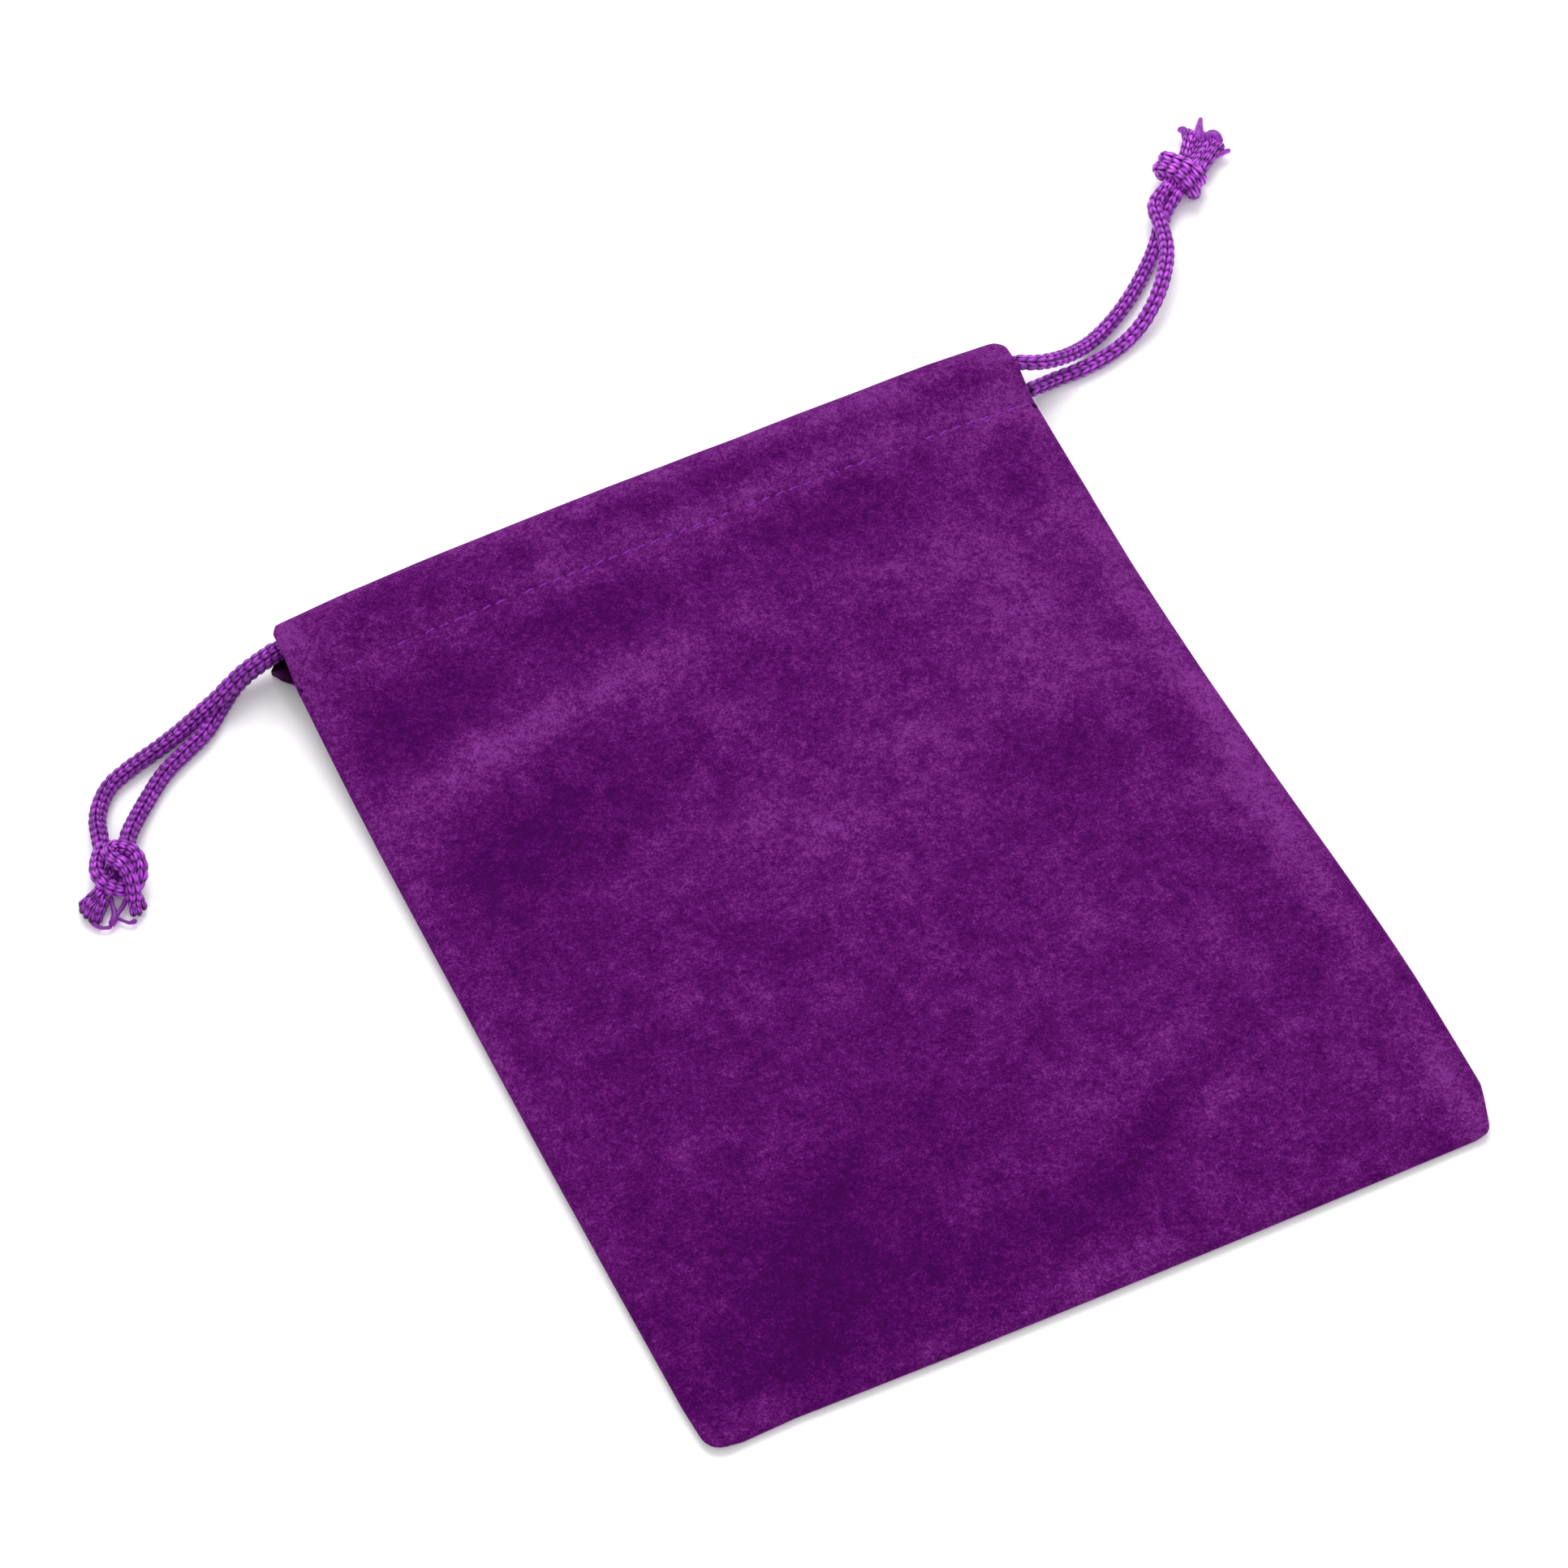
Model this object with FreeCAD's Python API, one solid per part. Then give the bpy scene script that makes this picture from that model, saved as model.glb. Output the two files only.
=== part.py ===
import FreeCAD, Part
import math
import os

# Velvet drawstring bag lying flat on its back panel, in millimetres.
# +X is across the bag, +Y runs from the bottom fold to the mouth and +Z is up, so the front panel
# is on top. The origin is under the middle of the bag, on the surface it lies on.

# ---- driving dimensions ----
BAG_WIDTH = 102.0
BAG_LENGTH = 125.0
PLY = 0.55  # one thickness of velvet
CASING_DEPTH = 9.5  # mouth fold to hem stitch line
CHANNEL_HEIGHT = 2.2  # room for the cord between the two plies of a casing
MOUTH_GAP = 4.1  # between the front and back casings
CORD_DIAMETER = 2.0
KNOT_SIZE = (7.2, 6.6, 4.9)
THREAD_DIAMETER = 0.3

# ---- derived levels and lines ----
HALF_WIDTH = BAG_WIDTH / 2
MOUTH_Y = BAG_LENGTH / 2
BOTTOM_Y = -BAG_LENGTH / 2
CORD_RADIUS = CORD_DIAMETER / 2
CASING_HEIGHT = 2 * PLY + CHANNEL_HEIGHT
MOUTH_HEIGHT = 2 * CASING_HEIGHT + MOUTH_GAP
MIDDLE_Z = MOUTH_HEIGHT / 2
STITCH_Y = MOUTH_Y - CASING_DEPTH
FOLD_RADIUS = CASING_HEIGHT / 2  # outside of the turned edge at the mouth
FOLD_CENTRE_Y = MOUTH_Y - FOLD_RADIUS
BACK_CORD_Z = PLY + CHANNEL_HEIGHT / 2
FRONT_CORD_Z = MOUTH_HEIGHT - BACK_CORD_Z

# ---- casings ----
HEM_TAIL_Y = 50.8  # cut edge of the turned-in hem
HEM_RAMP_TOP_Y = 53.6  # where the hem meets the panel at the stitch line
HEM_RAMP_FOOT_Y = 55.6
RAMP_MITRE = 0.12  # half a ply's shift where the hem bends
HEM_END_NOTCH = 3.7  # the hem's inner ply stops this far short of the sides, clear of the cords
NOTCH_LOW_Y = 55.9
NOTCH_HIGH_Y = 61.7

# ---- front panel ----
EDGE_LIFT = 1.3  # height of the rolled side and bottom edges over the two plies
EDGE_SHARPNESS = 40
EDGE_ROLL = 0.8  # run in which the panel rises from the bottom fold
MOUTH_CROWN = 8.3  # rise of the middle of the panel at the hem
CROWN_POWER = 0.6
SIDE_FALL_POWER = 2.5
SHOULDER_LOW_Y = 45.5  # the sides rise to the casing between these two lines
SHOULDER_HIGH_Y = HEM_TAIL_Y
PANEL_U = (0.2, 0.4, 0.6, 0.75, 0.85, 0.92, 0.96, 0.985, 1.0)
PANEL_Y = (-61.5, -60.5, -58.5, -54.5, -48, -38, -25, -10, 5, 20, 32, 40, 44, 46, 47.5, 49, 50)

# ---- seams ----
SEAM_ALLOWANCE_X = (46.0, 48.6)
SEAM_LOW_Y = -58.5
SEAM_HIGH_Y = 50.5
SEAM_STITCH_X = 49.75
SEAM_STITCH_Z = 0.95
SEAM_CLEARANCE = 0.02
HEM_STITCH_PITCH = 1.9
HEM_STITCH_LENGTH = 1.25
SEAM_STITCH_PITCH = 2.5
SEAM_STITCH_LENGTH = 1.7
STITCH_MARGIN = 1.5

# ---- draw cords ----
# Each cord is a loop through both casings. Its bight goes round the far end of the mouth and its two
# ends leave together on its own side, where they are knotted.
RIGHT_CORD_Y = 58.2
LEFT_CORD_Y = 60.5
BIGHT_RADIUS = (FRONT_CORD_Z - BACK_CORD_Z) / 2
BIGHT_X = HALF_WIDTH - CORD_RADIUS - BIGHT_RADIUS
RUN_SHARE_IN_ARC = 0.45

RIGHT_FRONT_TAIL = (
    (HALF_WIDTH, RIGHT_CORD_Y, FRONT_CORD_Z),
    (55.2, 58.3, 8.7),
    (59.0, 59.7, 6.5),
    (62.8, 62.3, 3.2),
    (67.0, 65.2, 1.1),
    (71.6, 68.4, 1.0),
    (76.6, 72.6, 1.0),
    (80.8, 75.7, 1.0),
    (83.6, 78.8, 1.7),
)
RIGHT_BACK_TAIL = (
    (HALF_WIDTH, RIGHT_CORD_Y, BACK_CORD_Z),
    (54.8, 58.7, 1.35),
    (59.4, 59.8, 1.02),
    (64.2, 60.9, 1.0),
    (69.0, 63.0, 1.0),
    (73.2, 66.1, 1.0),
    (76.2, 69.6, 1.7),
    (78.3, 73.0, 3.3),
    (80.0, 77.2, 3.4),
    (82.6, 80.6, 2.7),
)
LEFT_FRONT_TAIL = (
    (-HALF_WIDTH, LEFT_CORD_Y, FRONT_CORD_Z),
    (-54.6, 60.3, 8.5),
    (-58.2, 59.5, 5.8),
    (-62.4, 58.0, 3.1),
    (-67.2, 56.4, 1.3),
    (-72.2, 55.0, 1.0),
    (-76.2, 52.8, 1.0),
    (-79.0, 49.2, 1.0),
    (-80.4, 45.6, 1.5),
    (-80.9, 42.4, 2.2),
)
LEFT_BACK_TAIL = (
    (-HALF_WIDTH, LEFT_CORD_Y, BACK_CORD_Z),
    (-54.6, 60.2, 1.35),
    (-58.2, 58.8, 1.02),
    (-61.8, 55.9, 1.0),
    (-66.0, 53.0, 1.0),
    (-70.6, 50.5, 1.0),
    (-74.6, 47.6, 1.0),
    (-77.2, 44.4, 1.5),
    (-78.3, 41.5, 2.2),
)
RIGHT_KNOT = (85.4, 82.0, KNOT_SIZE[2] / 2)
RIGHT_KNOT_ANGLE = 50.0
LEFT_KNOT = (-80.0, 40.5, KNOT_SIZE[2] / 2)
LEFT_KNOT_ANGLE = 70.0
# centre line of each frayed cord end, from its root in the knot to its tip
RIGHT_ENDS = (((87.0, 84.4, 2.0), (90.6, 88.2, 1.4)), ((88.0, 83.3, 2.0), (92.4, 85.4, 1.4)))
LEFT_ENDS = (((-81.9, 38.6, 2.0), (-85.6, 35.8, 1.4)), ((-80.0, 38.2, 2.0), (-80.2, 34.4, 1.4)))
END_ROOT_RADIUS = 0.8
END_TIP_RADIUS = 1.3

LOWEST_BEND_IN_DIAMETERS = 3.0


def vector(point):
    return FreeCAD.Vector(*point)


def export(node, shape):
    """Write one node and print its volume."""
    if not shape.isValid() or not all(solid.isValid() for solid in shape.Solids):
        raise ValueError(f"{node} is not a valid solid")
    shape.exportStep(f"parts/{node}.step")
    print(f"{node}: {len(shape.Solids)} solid(s), {shape.Volume:.1f} mm3")


def box(low, high):
    size = [b - a for a, b in zip(low, high)]
    return Part.makeBox(*size, vector(low))


def rounded_slab(thickness, corner_radius):
    """The bag's outline in plan, with round corners at the bottom only, as a slab on z = 0."""
    slab = box((-HALF_WIDTH, BOTTOM_Y + PLY, 0), (HALF_WIDTH, FOLD_CENTRE_Y, thickness))
    corners = [
        edge
        for edge in slab.Edges
        if abs(edge.BoundBox.ZLength - thickness) < 1e-6 and edge.BoundBox.YMax < 0
    ]
    return slab.makeFillet(corner_radius, corners)


# ---- velvet ----
def smooth(share):
    """0 to 1 with level ends."""
    share = min(max(share, 0.0), 1.0)
    return share * share * (3 - 2 * share)


def panel_top(x, y):
    """Height of the front panel's outer face over the surface the bag lies on."""
    across = abs(x) / HALF_WIDTH
    along = (y - BOTTOM_Y - PLY) / (SHOULDER_HIGH_Y - BOTTOM_Y - PLY)
    roll = (1 - across**EDGE_SHARPNESS) * (1 - math.exp(-(y - BOTTOM_Y - PLY) / EDGE_ROLL))
    crown = MOUTH_CROWN * max(along, 0.0) ** CROWN_POWER * (1 - across**SIDE_FALL_POWER)
    dome = 2 * PLY + EDGE_LIFT * roll + crown
    rise = smooth((y - SHOULDER_LOW_Y) / (SHOULDER_HIGH_Y - SHOULDER_LOW_Y))
    return dome + (MOUTH_HEIGHT - dome) * rise


def panel_surface(drop):
    """Smooth face through the panel's outer face, lowered by drop."""
    across = [-u * HALF_WIDTH for u in reversed(PANEL_U)] + [0.0] + [u * HALF_WIDTH for u in PANEL_U]
    along = (BOTTOM_Y + PLY,) + PANEL_Y + (SHOULDER_HIGH_Y,)
    grid = [[FreeCAD.Vector(x, y, panel_top(x, y) - drop) for y in along] for x in across]
    surface = Part.BSplineSurface()
    surface.interpolate(grid)
    return surface


def skin_solid(upper, lower):
    """Closed solid between two faces over the same rectangle."""
    faces = [upper.toShape(), lower.toShape()]
    u0, u1, v0, v1 = upper.bounds()
    p0, p1, q0, q1 = lower.bounds()
    rims = (
        (upper.uIso(u0), lower.uIso(p0)),
        (upper.uIso(u1), lower.uIso(p1)),
        (upper.vIso(v0), lower.vIso(q0)),
        (upper.vIso(v1), lower.vIso(q1)),
    )
    faces += [Part.makeRuledSurface(top.toShape(), bottom.toShape()) for top, bottom in rims]
    shell = Part.makeCompound(faces)
    shell.sewShape()
    solid = Part.makeSolid(shell.Shells[0])
    if solid.Volume < 0:
        solid.reverse()
    return solid


def make_front_panel():
    domed = skin_solid(panel_surface(0.0), panel_surface(PLY))
    flat = box(
        (-HALF_WIDTH, SHOULDER_HIGH_Y, MOUTH_HEIGHT - PLY), (HALF_WIDTH, FOLD_CENTRE_Y, MOUTH_HEIGHT)
    )
    return domed.fuse(flat)


def make_back_panel():
    return rounded_slab(PLY, 2.0)


def make_bottom_fold():
    """The velvet's turn at the bottom, from the back panel up to the front one."""
    length = BAG_WIDTH - 4.0
    start = FreeCAD.Vector(-length / 2, BOTTOM_Y + PLY, PLY)
    roll = Part.makeCylinder(PLY, length, start, FreeCAD.Vector(1, 0, 0))
    return roll.common(box((-HALF_WIDTH, BOTTOM_Y - PLY, 0), (HALF_WIDTH, BOTTOM_Y + PLY, 2 * PLY)))


def make_front_hem():
    """The front casing's turned edge and inner ply, as one profile run across the bag."""
    z_low = MOUTH_HEIGHT - CASING_HEIGHT
    z_seat = MOUTH_HEIGHT - 2 * PLY
    z_panel = MOUTH_HEIGHT - PLY
    centre_z = MOUTH_HEIGHT - FOLD_RADIUS
    inside = FOLD_RADIUS - PLY

    def at(y, z):
        return FreeCAD.Vector(-HALF_WIDTH, y, z)

    before_fold = (
        at(HEM_TAIL_Y, z_seat),
        at(HEM_RAMP_TOP_Y - RAMP_MITRE, z_seat),
        at(HEM_RAMP_FOOT_Y - RAMP_MITRE, z_low),
        at(FOLD_CENTRE_Y, z_low),
    )
    after_fold = (
        at(FOLD_CENTRE_Y, z_low + PLY),
        at(HEM_RAMP_FOOT_Y + RAMP_MITRE, z_low + PLY),
        at(HEM_RAMP_TOP_Y + RAMP_MITRE, z_panel),
        at(HEM_TAIL_Y, z_panel),
        at(HEM_TAIL_Y, z_seat),
    )
    outer_arc = Part.Arc(before_fold[-1], at(MOUTH_Y, centre_z), at(FOLD_CENTRE_Y, MOUTH_HEIGHT))
    inner_arc = Part.Arc(
        at(FOLD_CENTRE_Y, z_panel), at(FOLD_CENTRE_Y + inside, centre_z), after_fold[0]
    )
    edges = [Part.LineSegment(a, b).toShape() for a, b in zip(before_fold, before_fold[1:])]
    edges.append(outer_arc.toShape())
    edges.append(Part.LineSegment(at(FOLD_CENTRE_Y, MOUTH_HEIGHT), at(FOLD_CENTRE_Y, z_panel)).toShape())
    edges.append(inner_arc.toShape())
    edges += [Part.LineSegment(a, b).toShape() for a, b in zip(after_fold, after_fold[1:])]
    hem = Part.Face(Part.Wire(edges)).extrude(FreeCAD.Vector(BAG_WIDTH, 0, 0))
    for side in (-1, 1):
        inner = side * (HALF_WIDTH - HEM_END_NOTCH)
        outer = side * (HALF_WIDTH + 1)
        low = (min(inner, outer), NOTCH_LOW_Y, z_low - 1)
        high = (max(inner, outer), NOTCH_HIGH_Y, z_low + PLY + 1)
        hem = hem.cut(box(low, high))
    return hem


def mirrored_to_back(shape):
    """The same piece on the back casing."""
    return shape.mirror(FreeCAD.Vector(0, 0, MIDDLE_Z), FreeCAD.Vector(0, 0, 1))


def make_seam_allowance(side):
    """The two turned-in edges of a side seam, lying on each other inside the bag."""
    plies = []
    for level in (0, 1):
        z_low = PLY * (1 + level) + SEAM_CLEARANCE * (1 + level)
        xs = sorted(side * x for x in SEAM_ALLOWANCE_X)
        plies.append(box((xs[0], SEAM_LOW_Y, z_low), (xs[1], SEAM_HIGH_Y, z_low + PLY)))
    return Part.makeCompound(plies)


def thread(start, direction, length):
    return Part.makeCylinder(THREAD_DIAMETER / 2, length, vector(start), vector(direction))


def make_front_hem_stitches():
    """Visible stitches on the front panel, in one row across the bag."""
    count = int((BAG_WIDTH - 2 * STITCH_MARGIN) / HEM_STITCH_PITCH)
    first = -(count - 1) * HEM_STITCH_PITCH / 2 - HEM_STITCH_LENGTH / 2
    z = MOUTH_HEIGHT + THREAD_DIAMETER / 2
    return Part.makeCompound(
        [
            thread((first + i * HEM_STITCH_PITCH, STITCH_Y, z), (1, 0, 0), HEM_STITCH_LENGTH)
            for i in range(count)
        ]
    )


def make_back_hem_stitches():
    """Stitches on the back hem's tail, inside the bag."""
    row = make_front_hem_stitches()
    row.translate(FreeCAD.Vector(0, 0, 2 * PLY - MOUTH_HEIGHT))
    row.translate(FreeCAD.Vector(0, HEM_TAIL_Y + 1.2 - STITCH_Y, 0))
    return row


def make_seam_stitches(side):
    """Stitches of a side seam, inside the rolled edge."""
    count = int((SEAM_HIGH_Y - SEAM_LOW_Y - 2 * STITCH_MARGIN) / SEAM_STITCH_PITCH)
    x = side * SEAM_STITCH_X
    return Part.makeCompound(
        [
            thread(
                (x, SEAM_LOW_Y + STITCH_MARGIN + i * SEAM_STITCH_PITCH, SEAM_STITCH_Z),
                (0, 1, 0),
                SEAM_STITCH_LENGTH,
            )
            for i in range(count)
        ]
    )


# ---- cords ----
def route_wire(node, points):
    """Straight runs joined by tangent arcs, each as large as its two runs allow."""
    corners = [vector(p) for p in points]
    edges = []
    radii = []
    leave = corners[0]
    for before, corner, after in zip(corners, corners[1:], corners[2:]):
        inward = (before - corner).normalize()
        outward = (after - corner).normalize()
        shorter = min((corner - before).Length, (after - corner).Length)
        half_turn = (math.pi - inward.getAngle(outward)) / 2
        reach = RUN_SHARE_IN_ARC * shorter
        radius = reach / math.tan(half_turn)
        radii.append(radius)
        bisector = (inward + outward).normalize()
        centre = corner + bisector * math.hypot(reach, radius)
        start = corner + inward * reach
        end = corner + outward * reach
        middle = centre - bisector * radius
        edges.append(Part.LineSegment(leave, start).toShape())
        edges.append(Part.Arc(start, middle, end).toShape())
        leave = end
    edges.append(Part.LineSegment(leave, corners[-1]).toShape())
    print(f"{node}: bend radii {', '.join(f'{r:.1f}' for r in radii)} mm")
    if min(radii) < LOWEST_BEND_IN_DIAMETERS * CORD_DIAMETER:
        print(f"{node}: tightest bend {min(radii) / CORD_DIAMETER:.1f} diameters")
    return Part.Wire(edges)


def swept_tube(node, wire, start, direction):
    """Round tube along a wire, with its volume against section times length."""
    circle = Part.makeCircle(CORD_RADIUS, vector(start), direction)
    tube = wire.makePipeShell([Part.Wire([circle])], True, False)
    ideal = math.pi * CORD_RADIUS**2 * wire.Length
    print(f"{node}: length {wire.Length:.1f} mm, volume {tube.Volume / ideal:.4f} of section x length")
    return tube


def make_tail(node, points):
    wire = route_wire(node, points)
    return swept_tube(node, wire, points[0], vector(points[1]) - vector(points[0]))


def make_run(side, y, z):
    """Straight stretch inside a casing, from the bight to the end of the casing on the cord's side."""
    start = FreeCAD.Vector(-side * BIGHT_X, y, z)
    return Part.makeCylinder(CORD_RADIUS, BIGHT_X + HALF_WIDTH, start, FreeCAD.Vector(side, 0, 0))


def make_bight(node, side, y):
    """Half turn round the far end of the mouth, from the back casing to the front one."""
    x = -side * BIGHT_X
    low = (x, y, BACK_CORD_Z)
    far = (x - side * BIGHT_RADIUS, y, MIDDLE_Z)
    high = (x, y, FRONT_CORD_Z)
    arc = Part.Arc(vector(low), vector(far), vector(high))
    wire = Part.Wire([arc.toShape()])
    return swept_tube(node, wire, low, FreeCAD.Vector(-side, 0, 0))


def make_knot(centre, angle):
    """Rounded lump of an overhand knot tied in both strands, flat side down."""
    ball = Part.makeSphere(0.5)
    matrix = FreeCAD.Matrix()
    matrix.scale(*KNOT_SIZE)
    matrix.rotateZ(math.radians(angle))
    matrix.move(vector(centre))
    return ball.transformGeometry(matrix)


def make_cord_ends(ends):
    """Two frayed cord ends, each widening from the knot to its tip."""
    cones = []
    for root, tip in ends:
        along = vector(tip) - vector(root)
        cones.append(Part.makeCone(END_ROOT_RADIUS, END_TIP_RADIUS, along.Length, vector(root), along))
    return Part.makeCompound(cones)


def make_cord(name, side, y, front_tail, back_tail, knot, knot_angle, ends):
    export(f"{name}_front_run", make_run(side, y, FRONT_CORD_Z))
    export(f"{name}_back_run", make_run(side, y, BACK_CORD_Z))
    export(f"{name}_bight", make_bight(f"{name}_bight", side, y))
    export(f"{name}_front_tail", make_tail(f"{name}_front_tail", front_tail))
    export(f"{name}_back_tail", make_tail(f"{name}_back_tail", back_tail))
    export(f"{name}_knot", make_knot(knot, knot_angle))
    export(f"{name}_frayed_ends", make_cord_ends(ends))


os.makedirs("parts", exist_ok=True)

export("front_panel", make_front_panel())
export("back_panel", make_back_panel())
export("bottom_fold", make_bottom_fold())
export("front_hem", make_front_hem())
export("back_hem", mirrored_to_back(make_front_hem()))
export("left_seam_allowance", make_seam_allowance(-1))
export("right_seam_allowance", make_seam_allowance(1))
export("front_hem_stitches", make_front_hem_stitches())
export("back_hem_stitches", make_back_hem_stitches())
export("left_seam_stitches", make_seam_stitches(-1))
export("right_seam_stitches", make_seam_stitches(1))
make_cord(
    "right_cord",
    1,
    RIGHT_CORD_Y,
    RIGHT_FRONT_TAIL,
    RIGHT_BACK_TAIL,
    RIGHT_KNOT,
    RIGHT_KNOT_ANGLE,
    RIGHT_ENDS,
)
make_cord(
    "left_cord",
    -1,
    LEFT_CORD_Y,
    LEFT_FRONT_TAIL,
    LEFT_BACK_TAIL,
    LEFT_KNOT,
    LEFT_KNOT_ANGLE,
    LEFT_ENDS,
)
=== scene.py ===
"""Velvet drawstring dice bag, lying flat: its looks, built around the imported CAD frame.

Cords and finished meshes are in metres. The knots and the cloth are worked out in millimetres, and MM
turns them into metres as their meshes are made.
"""
import math

import bpy
import numpy as np
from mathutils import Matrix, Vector, noise


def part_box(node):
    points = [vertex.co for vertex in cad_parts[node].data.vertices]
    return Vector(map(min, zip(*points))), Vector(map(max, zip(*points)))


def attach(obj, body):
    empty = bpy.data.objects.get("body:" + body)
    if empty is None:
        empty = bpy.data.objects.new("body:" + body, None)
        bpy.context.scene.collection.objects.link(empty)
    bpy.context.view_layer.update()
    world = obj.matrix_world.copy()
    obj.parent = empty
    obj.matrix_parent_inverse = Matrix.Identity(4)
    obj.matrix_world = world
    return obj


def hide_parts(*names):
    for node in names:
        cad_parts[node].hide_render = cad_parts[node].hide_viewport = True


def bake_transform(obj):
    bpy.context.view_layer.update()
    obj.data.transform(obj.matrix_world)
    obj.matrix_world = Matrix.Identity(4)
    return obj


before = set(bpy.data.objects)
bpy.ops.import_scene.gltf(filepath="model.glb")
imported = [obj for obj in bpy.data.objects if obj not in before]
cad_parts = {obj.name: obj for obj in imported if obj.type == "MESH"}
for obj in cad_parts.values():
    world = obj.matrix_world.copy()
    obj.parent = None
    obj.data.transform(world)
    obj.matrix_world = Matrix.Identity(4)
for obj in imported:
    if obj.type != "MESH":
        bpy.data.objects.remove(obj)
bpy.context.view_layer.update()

MM = 0.001
rng = np.random.default_rng(7)

# ---------------------------------------------------------------- camera
LENS_MM = 139.75
AZIMUTH = math.radians(-25.98)
ELEVATION = math.radians(54.05)
DISTANCE = 0.7358
TARGET = Vector((-0.00244, 0.01843, 0.0))


def add_camera():
    data = bpy.data.cameras.new("camera")
    data.lens = LENS_MM
    data.sensor_width = 36.0
    data.clip_start = 0.01
    data.clip_end = 20.0
    camera = bpy.data.objects.new("camera", data)
    bpy.context.scene.collection.objects.link(camera)
    back = Vector(
        (
            math.sin(AZIMUTH) * math.cos(ELEVATION),
            -math.cos(AZIMUTH) * math.cos(ELEVATION),
            math.sin(ELEVATION),
        )
    )
    camera.location = TARGET + back * DISTANCE
    camera.rotation_euler = back.to_track_quat("Z", "Y").to_euler()
    bpy.context.scene.camera = camera


add_camera()

# ---------------------------------------------------------------- routes of the cords
# The CAD routes, in metres, with points moved and added. The front strands leave lower than in
# CAD, because the cloth lies flatter at the mouth than the CAD casings.
RIGHT_FRONT_TAIL = [
    (0.0506, 0.0605, 0.0063),
    (0.0525, 0.0597, 0.0060),
    (0.0549, 0.0598, 0.0050),
    (0.0579, 0.0607, 0.0034),
    (0.0610, 0.0620, 0.0020),
    (0.0636, 0.0633, 0.00115),
    (0.0671, 0.0651, 0.0010),
    (0.0709, 0.0676, 0.0010),
    (0.0743, 0.0704, 0.0010),
    (0.0775, 0.0734, 0.0010),
    (0.0799, 0.0764, 0.0011),
    (0.0820, 0.0785, 0.0016),
    (0.0844, 0.0802, 0.0020),
]
RIGHT_BACK_TAIL = [
    (0.0517, 0.0589, 0.0019),
    (0.0538, 0.0592, 0.0015),
    (0.0559, 0.0597, 0.00105),
    (0.0593, 0.0596, 0.0010),
    (0.0638, 0.0602, 0.0010),
    (0.0673, 0.0613, 0.0011),
    (0.0702, 0.0626, 0.0018),
    (0.0733, 0.0648, 0.0030),
    (0.0760, 0.0679, 0.0033),
    (0.0781, 0.0712, 0.0033),
    (0.0793, 0.0752, 0.0030),
    (0.0799, 0.0787, 0.0027),
    (0.0822, 0.0803, 0.00265),
    (0.0837, 0.0811, 0.00225),
]
LEFT_FRONT_TAIL = [
    (-0.0509, 0.0602, 0.0054),
    (-0.0531, 0.0597, 0.0052),
    (-0.0549, 0.0595, 0.0047),
    (-0.0570, 0.0591, 0.0039),
    (-0.0594, 0.0583, 0.0029),
    (-0.0619, 0.0579, 0.0018),
    (-0.0654, 0.0568, 0.0011),
    (-0.0688, 0.0556, 0.0011),
    (-0.0727, 0.0545, 0.0011),
    (-0.0765, 0.0530, 0.0011),
    (-0.0793, 0.0494, 0.0013),
    (-0.0802, 0.0458, 0.0019),
    (-0.0807, 0.0436, 0.00195),
]
LEFT_BACK_TAIL = [
    (-0.0506, 0.0614, 0.0029),
    (-0.0524, 0.0611, 0.0026),
    (-0.0543, 0.0608, 0.0022),
    (-0.0564, 0.0602, 0.0016),
    (-0.0585, 0.0589, 0.0011),
    (-0.0608, 0.0568, 0.0011),
    (-0.0629, 0.0551, 0.0011),
    (-0.0662, 0.0536, 0.0011),
    (-0.0697, 0.0518, 0.0011),
    (-0.0727, 0.0492, 0.0011),
    (-0.0755, 0.0465, 0.0015),
    (-0.0776, 0.0440, 0.0020),
    (-0.0782, 0.0425, 0.00165),
]
CORD_DIAMETER = 0.002
CORD_RADIUS = CORD_DIAMETER / 2


def sampled(points, resolution=14):
    """The line of a NURBS spline with given control points, read from the curve itself."""
    curve = bpy.data.curves.new("route", "CURVE")
    curve.dimensions = "3D"
    curve.resolution_u = resolution
    spline = curve.splines.new("NURBS")
    spline.points.add(len(points) - 1)
    for control, point in zip(spline.points, points):
        control.co = (*point, 1.0)
    spline.order_u = 3
    spline.use_endpoint_u = True
    holder = bpy.data.objects.new("route", curve)
    mesh = bpy.data.meshes.new_from_object(holder)
    line = np.array([v.co for v in mesh.vertices], float)
    bpy.data.objects.remove(holder)
    bpy.data.curves.remove(curve)
    bpy.data.meshes.remove(mesh)
    return line


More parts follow.
